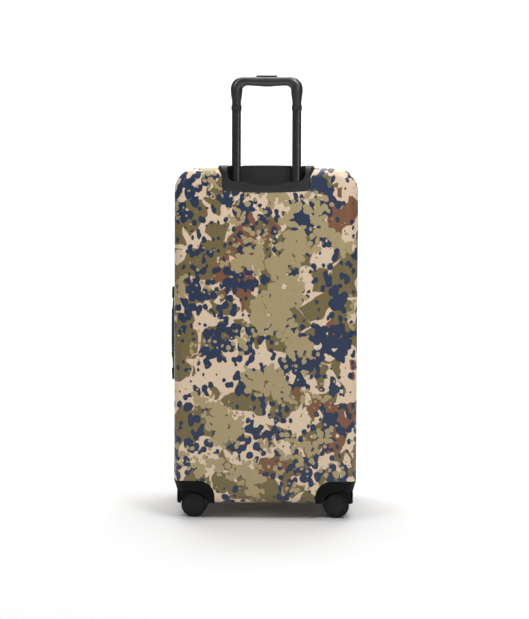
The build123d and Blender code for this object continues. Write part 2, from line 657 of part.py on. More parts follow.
with BuildPart() as grip:
    with BuildSketch(wall_plane(TUBE_Y)) as grip_front:
        leg_outer = TUBE_SPACING / 2 + INNER_TUBE[0] / 2 + COLLAR_WALL
        with BuildLine():
            Polyline(
                (-leg_outer, GRIP_BOTTOM),
                (-GRIP_HALF_WIDTH, GRIP_TOP - GRIP_OUTER_RADIUS),
                (-GRIP_HALF_WIDTH, GRIP_TOP),
                (GRIP_HALF_WIDTH, GRIP_TOP),
                (GRIP_HALF_WIDTH, GRIP_TOP - GRIP_OUTER_RADIUS),
                (leg_outer, GRIP_BOTTOM),
                close=True,
            )
        make_face()
        fillet(grip_front.vertices().group_by(Axis.Y)[-1], GRIP_OUTER_RADIUS - FILLET_MARGIN)
        with BuildSketch(mode=Mode.SUBTRACT) as grip_hole:
            leg_inner = TUBE_SPACING / 2 - INNER_TUBE[0] / 2 - COLLAR_WALL
            corner_inner = GRIP_HALF_WIDTH - GRIP_LEG_TOP
            with BuildLine():
                Polyline(
                    (corner_inner, GRIP_TOP - GRIP_BAR),
                    (leg_inner, GRIP_BOTTOM),
                    (-leg_inner, GRIP_BOTTOM),
                    (-corner_inner, GRIP_TOP - GRIP_BAR),
                )
                ThreePointArc(
                    (-corner_inner, GRIP_TOP - GRIP_BAR),
                    (0, GRIP_TOP - GRIP_BAR - GRIP_BOW),
                    (corner_inner, GRIP_TOP - GRIP_BAR),
                )
            make_face()
            fillet(grip_hole.vertices().group_by(Axis.Y)[-1], GRIP_INNER_RADIUS)
    extrude(amount=GRIP_DEPTH / 2, both=True)
    long_edges = grip.edges().filter_by_position(Axis.Y, TUBE_Y - GRIP_DEPTH / 2, TUBE_Y - GRIP_DEPTH / 2)
    far_edges = grip.edges().filter_by_position(Axis.Y, TUBE_Y + GRIP_DEPTH / 2, TUBE_Y + GRIP_DEPTH / 2)
    fillet([e for e in long_edges + far_edges if e.center().Z > GRIP_BOTTOM + 1], GRIP_EDGE)
    # sockets for the tubes, the button's pocket and the channel of the lock link
    with BuildSketch(Plane.XY.offset(GRIP_BOTTOM)):
        with Locations(tube_centres):
            RectangleRounded(*INNER_TUBE, TUBE_CORNER)
    extrude(amount=SOCKET_TOP - GRIP_BOTTOM, mode=Mode.SUBTRACT)
    with BuildSketch(Plane.XY.offset(SOCKET_TOP)):
        with Locations(tube_centres):
            Circle(ROD_RADIUS + ROD_ROOM)
    extrude(amount=CHANNEL_LOW - SOCKET_TOP, mode=Mode.SUBTRACT)
    with BuildSketch(Plane.XY.offset(CHANNEL_LOW)):
        with Locations((0, TUBE_Y)):
            Rectangle(TUBE_SPACING + CHANNEL_SPARE, CHANNEL_WIDTH)
    extrude(amount=CHANNEL_HIGH - CHANNEL_LOW, mode=Mode.SUBTRACT)
    with BuildSketch(Plane.XY.offset(CHANNEL_HIGH - BUTTON_TRAVEL)):
        with Locations((0, TUBE_Y)):
            Rectangle(BUTTON_SIZE[0] + BUTTON_ROOM, BUTTON_SIZE[1] + BUTTON_ROOM)
    extrude(amount=FAR, mode=Mode.SUBTRACT)
save(grip, "grip")

with BuildPart() as grip_collars:
    with BuildSketch(Plane.XY.offset(GRIP_BOTTOM - COLLAR_HEIGHT)):
        with Locations(tube_centres):
            RectangleRounded(
                INNER_TUBE[0] + 2 * COLLAR_WALL, INNER_TUBE[1] + 2 * COLLAR_WALL, TUBE_CORNER + COLLAR_WALL
            )
            RectangleRounded(*INNER_TUBE, TUBE_CORNER, mode=Mode.SUBTRACT)
    extrude(amount=COLLAR_HEIGHT)
save(grip_collars, "grip_collars")

with BuildPart() as release_button:
    with BuildSketch(Plane.XY.offset(CHANNEL_HIGH)):
        with Locations((0, TUBE_Y)):
            RectangleRounded(*BUTTON_SIZE, BUTTON_CORNER)
    extrude(amount=GRIP_TOP + BUTTON_PROUD - CHANNEL_HIGH)
    chamfer(release_button.faces().sort_by(Axis.Z)[-1].edges(), BUTTON_BEVEL)
save(release_button, "release_button")

with BuildPart() as lock_rods:
    with BuildSketch(Plane.XY.offset(CHANNEL_HIGH - LINK_HEIGHT)):
        with Locations((0, TUBE_Y)):
            Rectangle(TUBE_SPACING + LINK_SPARE, LINK_WIDTH)
    extrude(amount=LINK_HEIGHT)
    with BuildSketch(Plane.XY.offset(ROD_LOW)):
        with Locations(tube_centres):
            Circle(ROD_RADIUS)
    extrude(amount=CHANNEL_HIGH - LINK_HEIGHT - ROD_LOW)
save(lock_rods, "lock_rods")

for name, side in (("left", -1), ("right", 1)):
    with BuildPart() as plunger:
        plunger_tip = TUBE_SPACING / 2 + INNER_TUBE[0] / 2
        with BuildSketch(Plane.YZ.offset(side * plunger_tip)):
            with Locations((TUBE_Y, PLUNGER_Z)):
                Circle(PLUNGER_RADIUS)
        extrude(amount=-side * PLUNGER_LENGTH)
    save(plunger, f"plunger_{name}")

# ================================================================ carry handles
top_handle_plane = Plane(origin=(0, TOP_HANDLE_Y, CASE_TOP), x_dir=(1, 0, 0), z_dir=(0, 0, 1))
side_handle_plane = Plane(
    origin=(-SIDE, SIDE_HANDLE_Y, SIDE_HANDLE_Z), x_dir=(0, 0, 1), z_dir=(-1, 0, 0)
)


def handle_section(low, near, far):
    """Side view of a carry handle from near to far along it, under the bow of its top."""
    with BuildSketch() as section:
        with BuildLine():
            Polyline(
                (-HANDLE_HALF_LENGTH, HANDLE_PROUD - HANDLE_BOW),
                (-HANDLE_HALF_LENGTH, low),
                (HANDLE_HALF_LENGTH, low),
                (HANDLE_HALF_LENGTH, HANDLE_PROUD - HANDLE_BOW),
            )
            ThreePointArc(
                (HANDLE_HALF_LENGTH, HANDLE_PROUD - HANDLE_BOW),
                (0, HANDLE_PROUD),
                (-HANDLE_HALF_LENGTH, HANDLE_PROUD - HANDLE_BOW),
            )
        make_face()
        with Locations(((near + far) / 2, 0)):
            Rectangle(far - near, 4 * HANDLE_PROUD, mode=Mode.INTERSECT)
    return section.sketch


def across(plane):
    """The plane that shows a carry handle from its side."""
    return Plane(origin=plane.origin, x_dir=plane.x_dir, z_dir=-plane.y_dir)


for name, plane in (("top_handle", top_handle_plane), ("side_handle", side_handle_plane)):
    with BuildPart() as carry_handle:
        with BuildSketch(across(plane)):
            add(handle_section(HANDLE_GAP, -BAR_HALF_LENGTH, BAR_HALF_LENGTH))
        extrude(amount=HANDLE_WIDTH / 2, both=True)
    save(carry_handle, name)

with BuildPart() as handle_end_caps:
    for plane in (top_handle_plane, side_handle_plane):
        with BuildSketch(across(plane)):
            cap_near = BAR_HALF_LENGTH + HANDLE_CLEAR
            add(handle_section(0, cap_near, HANDLE_HALF_LENGTH))
            add(handle_section(0, -HANDLE_HALF_LENGTH, -cap_near))
        extrude(amount=HANDLE_WIDTH / 2 + CAP_PROUD, both=True)
save(handle_end_caps, "handle_end_caps")

# ================================================================ casters
def caster_plane(side, end):
    """Plane on the floor under a swivel, with X along the trail and Y along the axle, away from the case."""
    yaw = math.radians(CASTER_YAW)
    trail = (side * math.cos(yaw), -end * math.sin(yaw), 0)
    return Plane(origin=(side * SWIVEL_X, end * SWIVEL_Y, 0), x_dir=trail, z_dir=(0, 0, 1))


def axle_plane(base, distance):
    """Plane across the axle, at a distance from the caster's middle. Its X is the trail, its Y is up."""
    origin = base.origin + base.x_dir * TRAIL + base.y_dir * distance + Vector(0, 0, WHEEL_RADIUS)
    return Plane(origin=origin, x_dir=base.x_dir, z_dir=-base.y_dir)


for corner, (side, end) in CORNERS.items():
    base = caster_plane(side, end)
    outward = 1 if base.y_dir.Y * end > 0 else -1
    with BuildPart() as yoke:
        with BuildSketch(base.offset(YOKE_LOW)):
            Circle(YOKE_DISC)
        extrude(amount=YOKE_HIGH - YOKE_LOW)
        with BuildSketch(axle_plane(base, 0)):
            Circle(AXLE_BOSS)
            with Locations((-TRAIL, YOKE_LOW - WHEEL_RADIUS)):
                Rectangle(*YOKE_NECK)
            make_hull()
        extrude(amount=WEB_HALF, both=True)
        with BuildSketch(base.offset(KINGPIN_LOW)):
            Circle(KINGPIN_RADIUS + RUNNING)
        extrude(amount=FAR, mode=Mode.SUBTRACT)
        with BuildSketch(axle_plane(base, 0)):
            Circle(AXLE_RADIUS)
        extrude(amount=FAR, both=True, mode=Mode.SUBTRACT)
    save(yoke, f"yoke_{corner}")

    axle_half = WEB_HALF + WHEEL_GAP + WHEEL_WIDTH - AXLE_SHY
    with BuildPart() as axle:
        with BuildSketch(axle_plane(base, 0)):
            Circle(AXLE_RADIUS)
        extrude(amount=axle_half, both=True)
    save(axle, f"axle_{corner}")

    for place, direction in (("outer", outward), ("inner", -outward)):
        near = direction * (WEB_HALF + WHEEL_GAP)
        with BuildPart() as hub:
            with BuildSketch(axle_plane(base, near)):
                Circle(HUB_RADIUS)
            extrude(amount=-direction * (WHEEL_WIDTH - HUB_SHY))
            with BuildSketch(axle_plane(base, near)):
                Circle(AXLE_RADIUS + RUNNING)
            extrude(amount=-direction * (WHEEL_WIDTH - HUB_FLOOR), mode=Mode.SUBTRACT)
            # shallow dish in the hub's outer face
            with BuildSketch(axle_plane(base, near + direction * (WHEEL_WIDTH - HUB_SHY))):
                Circle(DISH[0])
                Circle(DISH[1], mode=Mode.SUBTRACT)
            extrude(amount=direction * DISH[2], mode=Mode.SUBTRACT)
        save(hub, f"hub_{corner}_{place}")
        with BuildPart() as tyre:
            with BuildSketch(axle_plane(base, near)):
                Circle(WHEEL_RADIUS)
                Circle(HUB_RADIUS, mode=Mode.SUBTRACT)
            extrude(amount=-direction * WHEEL_WIDTH)
            tread = tyre.faces().filter_by(GeomType.CYLINDER).sort_by(SortBy.AREA)[-1]
            fillet(tread.edges().filter_by(GeomType.CIRCLE), TREAD_EDGE)
        save(tyre, f"tyre_{corner}_{place}")
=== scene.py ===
"""Looks for the hard-shell spinner suitcase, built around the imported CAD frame.

Metres, in the CAD's own frame: x across, y from the trolley side to the front, z up.
"""
import json
import math

import bmesh
import bpy
from mathutils import Matrix, Vector, noise


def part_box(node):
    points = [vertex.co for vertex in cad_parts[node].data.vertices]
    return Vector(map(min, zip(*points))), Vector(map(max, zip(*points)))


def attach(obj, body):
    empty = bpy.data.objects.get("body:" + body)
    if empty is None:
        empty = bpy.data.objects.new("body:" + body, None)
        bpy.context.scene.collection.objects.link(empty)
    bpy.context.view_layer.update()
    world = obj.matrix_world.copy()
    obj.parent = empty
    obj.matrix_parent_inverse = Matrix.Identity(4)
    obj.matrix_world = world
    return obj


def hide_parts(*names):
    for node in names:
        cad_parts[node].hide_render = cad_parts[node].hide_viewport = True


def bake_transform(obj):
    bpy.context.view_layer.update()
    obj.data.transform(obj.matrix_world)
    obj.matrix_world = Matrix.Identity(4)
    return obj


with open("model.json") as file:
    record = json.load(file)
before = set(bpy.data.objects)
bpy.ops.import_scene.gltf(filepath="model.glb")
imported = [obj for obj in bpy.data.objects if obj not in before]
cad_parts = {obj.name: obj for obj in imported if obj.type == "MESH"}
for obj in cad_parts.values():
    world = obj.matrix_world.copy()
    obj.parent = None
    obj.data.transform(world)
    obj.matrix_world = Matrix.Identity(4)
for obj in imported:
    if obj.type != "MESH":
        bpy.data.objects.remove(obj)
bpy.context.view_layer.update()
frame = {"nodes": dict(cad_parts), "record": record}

NODES = frame["nodes"]
SCENE = bpy.context.scene
CORNERS = ("back_left", "back_right", "front_left", "front_right")

# -------- places, from the frame
BACK_LOW, BACK_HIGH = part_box("back_shell")
SIDE = BACK_HIGH.x  # half of the case's width
CASE_TOP = BACK_HIGH.z
CASE_BOTTOM = BACK_LOW.z
BACK_FACE = BACK_LOW.y
SEAM_HALF = -BACK_HIGH.y  # each shell stops this far from the seam


# ======== node helper
class Paint:
    """A node material with a Principled shader, and short calls for its nodes."""

    def __init__(self, name, color=(0.5, 0.5, 0.5), rough=0.5, **constants):
        self.mat = bpy.data.materials.new(name)
        self.mat.use_nodes = True
        self.tree = self.mat.node_tree
        self.shader = self.tree.nodes["Principled BSDF"]
        self.shader.inputs["Base Color"].default_value = (*color, 1)
        self.shader.inputs["Roughness"].default_value = rough
        for key, value in constants.items():
            self.shader.inputs[key.replace("_", " ")].default_value = value
        self.coords = self.node("TexCoord").outputs["Object"]

    def node(self, kind, inputs=None, **props):
        made = self.tree.nodes.new("ShaderNode" + kind)
        for key, value in props.items():
            setattr(made, key, value)
        for key, value in (inputs or {}).items():
            self.put(made.inputs[key], value)
        return made

    def put(self, socket, value):
        if isinstance(value, bpy.types.NodeSocket):
            self.tree.links.new(value, socket)
        else:
            socket.default_value = value

    def math(self, operation, a, b=0.0, c=0.0, clamp=False):
        made = self.node("Math", {0: a, 1: b, 2: c}, operation=operation, use_clamp=clamp)
        return made.outputs[0]

    def span(self, value, low, high, to_low=0.0, to_high=1.0):
        """Maps low..high to to_low..to_high, held at the ends."""
        made = self.node(
            "MapRange",
            {"Value": value, "From Min": low, "From Max": high, "To Min": to_low, "To Max": to_high},
        )
        return made.outputs["Result"]

    def mix(self, factor, a, b, blend="MIX"):
        made = self.node("Mix", data_type="RGBA", blend_type=blend)
        self.put(made.inputs["Factor"], factor)
        for socket, value in ((made.inputs[6], a), (made.inputs[7], b)):
            self.put(socket, value if isinstance(value, bpy.types.NodeSocket) else (*value, 1))
        return made.outputs[2]

    def noise(self, scale, detail=2.0, rough=0.5, at=None, output="Fac"):
        made = self.node(
            "TexNoise",
            {"Vector": self.coords if at is None else at, "Scale": scale, "Detail": detail,
             "Roughness": rough},
        )
        return made.outputs[output]

    def voronoi(self, scale, feature="F1", at=None, randomness=1.0):
        inputs = {"Vector": self.coords if at is None else at, "Scale": scale, "Randomness": randomness}
        return self.node("TexVoronoi", inputs, feature=feature).outputs["Distance"]

    def moved(self, offset, at=None, stretch=(1, 1, 1)):
        made = self.node(
            "Mapping",
            {"Vector": self.coords if at is None else at, "Location": offset, "Scale": stretch},
        )
        return made.outputs[0]

    def wandered(self, scale, reach, offset):
        """Coordinates pushed about by a smooth noise, so that outlines drawn from them turn uneven."""
        push = self.noise(scale, 1.0, at=self.moved(offset), output="Color")
        push = self.node("VectorMath", {0: push, 1: (0.5, 0.5, 0.5)}, operation="SUBTRACT").outputs[0]
        push = self.node("VectorMath", {0: push, "Scale": reach}, operation="SCALE").outputs[0]
        return self.node("VectorMath", {0: self.coords, 1: push}, operation="ADD").outputs[0]

    def grey(self, tone, blue=1.0):
        """Colour of one tone, with its blue raised by a factor."""
        last = tone if blue == 1.0 else self.math("MULTIPLY", tone, blue)
        return self.node("CombineColor", {0: tone, 1: tone, 2: last}).outputs[0]

    def bump(self, height, strength, distance):
        inputs = {"Height": height, "Strength": strength, "Distance": distance}
        return self.node("Bump", inputs).outputs[0]

    def set(self, socket, value):
        self.put(self.shader.inputs[socket], value)


# ======== the printed shell
CREAM = (0.74, 0.57, 0.41)
OLIVE = (0.170, 0.130, 0.046)
BROWN = (0.200, 0.084, 0.038)
NAVY = (0.012, 0.027, 0.072)
TAN = (0.40, 0.315, 0.160)

# Rough centres of the larger patches on the trolley side, as (x, z, radius) in centimetres.
BROWN_PATCHES = ((16.5, 69, 7.5), (-1.5, 60, 5.5), (-6, 50, 6.5), (17, 23.5, 7), (4.5, 11, 4.5),
                 (-19, 25, 3.5))
OLIVE_PATCHES = ((-16.5, 59, 7), (-11.5, 68, 4.5), (4, 59, 6), (-5, 62, 4.5), (16, 60, 5),
                 (6, 44, 9), (-11, 44, 6), (12, 47, 6), (16, 42, 5.5), (-12, 23, 5), (3, 29, 6),
                 (-16, 13, 7), (-1, 8, 6), (-18.5, 20, 4), (12, 8, 5.5), (-11, 7.5, 4.5),
                 (8, 20, 4.5))
TAN_PATCHES = ((-5.5, 64, 8.5), (8, 61, 8), (-4.5, 55.5, 6.5), (6, 50, 7.5), (-16.5, 50, 5),
               (0, 44, 5), (2, 33, 6.5), (-5, 17, 9.5), (10, 16, 7), (-16, 28, 4), (2, 10, 5))
NAVY_PATCHES = ((-13, 70, 7.5), (2, 67, 7.5), (11, 70, 7), (14, 60, 5), (11, 52, 7), (-11, 36, 9),
                (-6, 29, 8), (11, 30, 10), (-15, 42, 8), (17, 37, 6), (-13, 24, 7), (1, 21, 8),
                (-17, 16, 7), (13, 13, 8.5), (-6, 7, 5))
PATCH_FADE = (0.03, 0.09)  # the patches fade out between these depths


def patch_field(paint, patches, at):
    """Highest of soft round bumps, -1 away from them, fading to 0 past the trolley side."""
    split = paint.node("SeparateXYZ", {0: at})
    flat = paint.node("CombineXYZ", {0: split.outputs[0], 2: split.outputs[2]}).outputs[0]
    best = -1.0
    for row in patches:
        x, z, radius = (value / 100 for value in row)
        ends = {0: flat, 1: (x, 0, z)}
        gap = paint.node("VectorMath", ends, operation="DISTANCE").outputs["Value"]
        rise = paint.math("SUBTRACT", 1.0, paint.math("DIVIDE", gap, radius))
        best = paint.math("MAXIMUM", best, rise)
    near = paint.span(split.outputs[1], BACK_FACE + PATCH_FADE[0], BACK_FACE + PATCH_FADE[1])
    return paint.math("MULTIPLY", best, paint.math("SUBTRACT", 1.0, near))


def camo():
    """Printed polycarbonate: four inks over cream, under a satin coat with a fine grain."""
    p = Paint("camo_print", rough=0.40, Specular_IOR_Level=0.45, Coat_Weight=0.25, Coat_Roughness=0.30)
    large = p.wandered(20, 0.042, (3, 1, 2))
    small = p.wandered(40, 0.010, (7, 2, 5))

    def field(offset, scale, patches, lean):
        """Broad field of one ink: smooth noise, raised in that ink's own patches."""
        smooth = p.noise(scale, 1.0, 0.4, at=p.moved(offset, large))
        return p.math("ADD", smooth, p.math("MULTIPLY", patch_field(p, patches, large), lean))

    def rippled(value, scale, height, offset):
        """The same field with its outline worn into lobes."""
        lobes = p.math("SUBTRACT", p.noise(scale, 1.0, at=p.moved(offset, small)), 0.5)
        return p.math("ADD", value, p.math("MULTIPLY", lobes, height))

    olive_field = rippled(field((0, 0, 0), 15.0, OLIVE_PATCHES, 0.12), 50, 0.20, (1, 8, 3))
    brown_field = rippled(field((5, 9, 1), 10.0, BROWN_PATCHES, 0.22), 50, 0.20, (4, 2, 9))
    island = p.noise(30, 0.0, at=p.moved((9, 4, 6), small, (1, 1, 0.6)))
    island = rippled(island, 60, 0.10, (2, 2, 2))
    navy_field = field((2, 4, 8), 13.0, NAVY_PATCHES, 0.10)
    tan_field = field((8, 3, 4), 12.0, TAN_PATCHES, 0.14)
    olive = p.span(olive_field, 0.468, 0.474)
    river = p.voronoi(14, "DISTANCE_TO_EDGE", at=large)
    width = p.span(p.noise(12, 0.0, at=p.moved((6, 1, 1))), 0.45, 0.65, -0.02, 0.10)
    olive = p.math("MULTIPLY", olive, p.span(p.math("SUBTRACT", river, width), 0.0, 0.01))
    brown = p.math("MULTIPLY", p.span(brown_field, 0.517, 0.523), p.span(island, 0.60, 0.595))

    # navy: round spots that run together where the field is high, with thin breaks between them
    spot = p.node(
        "TexVoronoi",
        {"Vector": p.moved((0, 0, 0), small, (1, 1, 0.8)), "Scale": 66, "Smoothness": 0.4,
         "Randomness": 0.85},
        feature="SMOOTH_F1",
    ).outputs["Distance"]
    spot_size = p.span(p.noise(60, 0.0, at=p.moved((1, 6, 4))), 0.3, 0.7, -0.14, 0.14)
    reach = p.math("ADD", p.span(navy_field, 0.37, 0.66, 0.23, 0.66), spot_size)
    navy = p.span(p.math("SUBTRACT", reach, spot), 0.0, 0.03)
    # tan: round lobes that fill up where the field is high, and loose drops around them
    lobe = p.voronoi(78, at=p.moved((3, 3, 3), small), randomness=0.9)
    drop_size = p.span(p.noise(70, 0.0, at=p.moved((5, 5, 1))), 0.3, 0.7, -0.12, 0.12)
    reach = p.math("ADD", p.span(tan_field, 0.43, 0.69, 0.05, 0.88), drop_size)
    tan = p.span(p.math("SUBTRACT", reach, lobe), 0.0, 0.03)

    ink = p.mix(olive, CREAM, OLIVE)
    ink = p.mix(brown, ink, BROWN)
    ink = p.mix(navy, ink, NAVY)
    ink = p.mix(tan, ink, TAN)
    mottle = p.span(p.noise(420, 3, 0.6), 0.3, 0.7, 0.94, 1.06)
    ink = p.mix(1.0, ink, p.grey(mottle), "MULTIPLY")
    p.set("Base Color", ink)
    p.set("Roughness", p.span(p.noise(35, 4), 0.3, 0.7, 0.35, 0.46))
    p.set("Normal", p.bump(p.voronoi(900), 0.10, 0.0003))
    return p.mat


# ======== black plastics, metals and cloth
def moulded(name, shade, rough, grain=700, depth=0.18, shine=0.5):
    """Moulded plastic with a spark-eroded grain and slightly uneven gloss."""
    p = Paint(name, (shade, shade, shade * 1.03), rough, Specular_IOR_Level=shine)
    worn = p.span(p.noise(24, 5, 0.6), 0.35, 0.7, 0.92, 1.12)
    tone = p.math("MULTIPLY", worn, shade)
    p.set("Base Color", p.grey(tone, 1.03))
    p.set("Roughness", p.span(p.noise(60, 4), 0.3, 0.7, rough - 0.05, rough + 0.07))
    p.set("Normal", p.bump(p.noise(grain, 3, 0.6), depth, 0.0002))
    return p.mat


def metal(name, shade, rough, streak=(1, 1, 0.02), anodised=False):
    """Drawn or brushed metal, its streaks along Z."""
    p = Paint(name, (shade, shade, shade * 1.02), rough, Metallic=0.1 if anodised else 0.9,
              Specular_IOR_Level=0.9 if anodised else 0.5)
    lines = p.noise(900, 3, 0.6, at=p.moved((0, 0, 0), stretch=streak))
    p.set("Roughness", p.span(lines, 0.3, 0.7, rough - 0.05, rough + 0.08))
    tone = p.span(lines, 0.3, 0.7, shade * 0.9, shade * 1.12)
    p.set("Base Color", p.grey(tone, 1.02))
    p.set("Normal", p.bump(lines, 0.06, 0.0001))
    return p.mat


def woven(name, color, pitch=0.0007, rough=0.85, depth=0.5):
    """Plain weave: two sets of threads that pass over each other, the same on every side."""
    p = Paint(name, color, rough, Sheen_Weight=0.15, Sheen_Roughness=0.5)
    split = p.node("SeparateXYZ", {0: p.coords})
    turns = math.tau / pitch
    across = p.math("ADD", split.outputs[0], split.outputs[1])
    warp = p.math("SINE", p.math("MULTIPLY", across, turns))
    weft = p.math("SINE", p.math("MULTIPLY", split.outputs[2], turns))
    over = p.math("MULTIPLY", warp, weft)
    worn = p.span(p.noise(55, 4), 0.3, 0.7, 0.88, 1.1)
    # Painted shade: the weave's low places are coloured darker than its raised threads. worn is tone
    # that varies at random.
    tone = p.math("MULTIPLY", p.span(over, -1, 1, 0.72, 1.15), worn)
    p.set("Base Color", p.mix(1.0, color, p.grey(tone), "MULTIPLY"))
    p.set("Normal", p.bump(over, depth, 0.0002))
    return p.mat


MATERIALS = {
    "camo_shell": camo(),
    "black_plastic": moulded("black_plastic", 0.022, 0.42, 700, 0.18, 0.35),
    "grip_rubber": moulded("grip_rubber", 0.006, 0.31, 900, 0.05, 1.0),
    "black_aluminium": metal("black_aluminium", 0.010, 0.24, anodised=True),
    "steel": metal("steel", 0.55, 0.30),
    "tyre_rubber": moulded("tyre_rubber", 0.004, 0.55, 500, 0.25, 0.3),
    "hub_plastic": moulded("hub_plastic", 0.006, 0.46, 700, 0.18, 0.35),
    "zip_tape": woven("zip_tape", (0.018, 0.018, 0.019)),
    "zip_metal": metal("zip_metal", 0.05, 0.32, anodised=True),
    "lining_cloth": woven("lining_cloth", (0.10, 0.10, 0.105), 0.0009),
    "webbing": woven("webbing", (0.020, 0.020, 0.021), 0.0016),
    "mesh": woven("mesh", (0.03, 0.03, 0.031), 0.0018),
    "dial_plastic": moulded("dial_plastic", 0.05, 0.4),
}
# Matt black, and also painted shade: its colour is set far darker than black_plastic because the wheel
# housings, yokes and arch plates sit in shade under the case.
SHADED_MATT_BLACK = moulded("shaded_matt_black", 0.0025, 0.55, 600, 0.25, 0.15)
SLOT_OF = {row["node"]: row["material_slot"] for row in frame["record"]["subparts"]}


def dress_cad_nodes():
    """Gives every carried-over CAD node its slot's material, or, round the wheels, a matt black that is
    painted darker as shade.
    """
    for name, obj in NODES.items():
        shaded_matt = name.startswith(("wheel_housing", "yoke"))
        material = SHADED_MATT_BLACK if shaded_matt else MATERIALS[SLOT_OF[name]]
        if not obj.material_slots:
            obj.data.materials.append(material)
        for row in obj.material_slots:
            row.material = material


# ======== stage, camera and light
CAMERA_PLACE = Vector((0.051, BACK_FACE - 3.0, 0.588))
CAMERA_PITCH = 2.43  # degrees down
CAMERA_TURN = 1.02  # degrees to the left
CAMERA_ROLL = 0.25  # degrees
SENSOR = 36.0  # millimetres
FOCAL_IN_WIDTHS = 1386 / 529  # focal length in picture widths

WORLD_LIGHT = 0.22
LIGHTS = (  # name, place, aimed at, size, watts
    ("key", (0.8, -1.4, 2.15), (0, 0, 0.75), (0.7, 0.7), 21),
    ("fill", (-1.1, -1.5, 2.0), (0, 0, 0.70), (0.7, 0.9), 8),
    ("strip", (0.75, -2.7, 1.0), (0, 0, 0.8), (0.12, 1.2), 4.5),
    ("top", (0, 0.3, 2.6), (0, 0, 0.5), (1.8, 1.8), 45),
    ("backdrop", (0, 2.2, 2.8), (0, 3.6, 0.6), (4.0, 1.5), 120),
)

PAPER_HALF = 8  # half of the paper's width
PAPER_FRONT = -6.0
PAPER_BACK = 3.0  # where it starts to bend up
PAPER_BEND = 1.5  # radius of the bend
PAPER_TOP = 6.0
PAPER_TONES = (0.88, 0.89)


def set_camera():
    data = bpy.data.cameras.new("camera")
    data.sensor_fit = "HORIZONTAL"
    data.sensor_width = SENSOR
    data.lens = FOCAL_IN_WIDTHS * SENSOR
    camera = bpy.data.objects.new("camera", data)
    turn = Matrix.Rotation(math.radians(CAMERA_TURN), 4, "Z")
    pitch = Matrix.Rotation(math.radians(90 - CAMERA_PITCH), 4, "X")
    roll = Matrix.Rotation(math.radians(CAMERA_ROLL), 4, "Z")
    camera.matrix_world = Matrix.Translation(CAMERA_PLACE) @ turn @ pitch @ roll
    SCENE.collection.objects.link(camera)
    SCENE.camera = camera


def area_light(name, place, target, size, power):
    data = bpy.data.lights.new(name, "AREA")
    data.shape = "RECTANGLE"
    data.size, data.size_y = size
    data.energy = power
    lamp = bpy.data.objects.new(name, data)
    lamp.location = place
    lamp.rotation_euler = (Vector(target) - Vector(place)).to_track_quat("-Z", "Y").to_euler()
    SCENE.collection.objects.link(lamp)


def set_stage():
    world = bpy.data.worlds.new("studio")
    world.use_nodes = True
    background = world.node_tree.nodes["Background"]
    background.inputs["Color"].default_value = (1, 1, 1, 1)
    background.inputs["Strength"].default_value = WORLD_LIGHT
    SCENE.world = world
    SCENE.view_settings.view_transform = "Standard"
    for row in LIGHTS:
        area_light(*row)
    floor = bpy.data.meshes.new("studio_floor")
    shape = bmesh.new()
    steps = 16
    run = [(PAPER_FRONT, 0.0), (PAPER_BACK, 0.0)]
    for step in range(1, steps + 1):
        turn = math.pi / 2 * step / steps
        run.append((PAPER_BACK + PAPER_BEND * math.sin(turn), PAPER_BEND - PAPER_BEND * math.cos(turn)))
    run.append((PAPER_BACK + PAPER_BEND, PAPER_TOP))
    rows = [[shape.verts.new((x, y, z)) for x in (-PAPER_HALF, PAPER_HALF)] for y, z in run]
    for low, high in zip(rows, rows[1:]):
        shape.faces.new((low[0], low[1], high[1], high[0])).smooth = True
    shape.to_mesh(floor)
    shape.free()
    stage = bpy.data.objects.new("studio_floor", floor)
    SCENE.collection.objects.link(stage)
    p = Paint("studio_paper", (0.92, 0.92, 0.92), 0.9)
    low, high = ((tone, tone, tone) for tone in PAPER_TONES)
    p.set("Base Color", p.mix(p.span(p.noise(3, 3), 0.4, 0.6), low, high))
    floor.materials.append(p.mat)


# ======== mesh helpers
def piece(name, shape, slot, body=None, replaces=(), sharp=42):
    """Turns a bmesh into an object with its slot's material, riding on a body and hiding the CAD nodes
    it stands for.
    """
    bmesh.ops.recalc_face_normals(shape, faces=shape.faces)
    mesh = bpy.data.meshes.new(name)
    shape.to_mesh(mesh)
    shape.free()
    mesh.shade_smooth()
    mesh.set_sharp_from_angle(angle=math.radians(sharp))
    mesh.materials.append(MATERIALS[slot])
    obj = bpy.data.objects.new(name, mesh)
    SCENE.collection.objects.link(obj)
    if body:
        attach(obj, body)
    if replaces:
        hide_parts(*replaces)
    return obj


def skin(rings, closed=False, shape=None):
    """Faces between closed rings of points, in a new mesh or a given one."""
    if shape is None:
        shape = bmesh.new()
    rows = [[shape.verts.new(point) for point in ring] for ring in rings]
    pairs = list(zip(rows, rows[1:])) + ([(rows[-1], rows[0])] if closed else [])
    for low, high in pairs:
        for i, corner in enumerate(low):
            j = (i + 1) % len(low)
            shape.faces.new((corner, low[j], high[j], high[i]))
    if not closed:
        shape.faces.new(rows[0][::-1])
        shape.faces.new(rows[-1])
    return shape


def sheet_grid(shape, rows, loop=False):
    """Quads over a grid of points, one layer thick. loop joins each row's ends."""
    made = [[shape.verts.new(point) for point in row] for row in rows]
    width = len(made[0])
    for low, high in zip(made, made[1:]):
        for i in range(width if loop else width - 1):
            j = (i + 1) % width
            shape.faces.new((low[i], low[j], high[j], high[i]))
    return made


def block(shape, centre, size, bevel=0.0, segments=2, turn=None):
    """Box with rounded edges."""
    place = Matrix.Translation(centre) @ (turn or Matrix.Identity(4)) @ Matrix.Diagonal((*size, 1))
    verts = bmesh.ops.create_cube(shape, size=1, matrix=place)["verts"]
    if bevel:
        edges = list({edge for vert in verts for edge in vert.link_edges})
        bmesh.ops.bevel(shape, geom=edges, offset=bevel, segments=segments, profile=0.5, affect="EDGES")


def circle(count):
    """Angles of points spread evenly round a circle."""
    return [math.tau * step / count for step in range(count)]


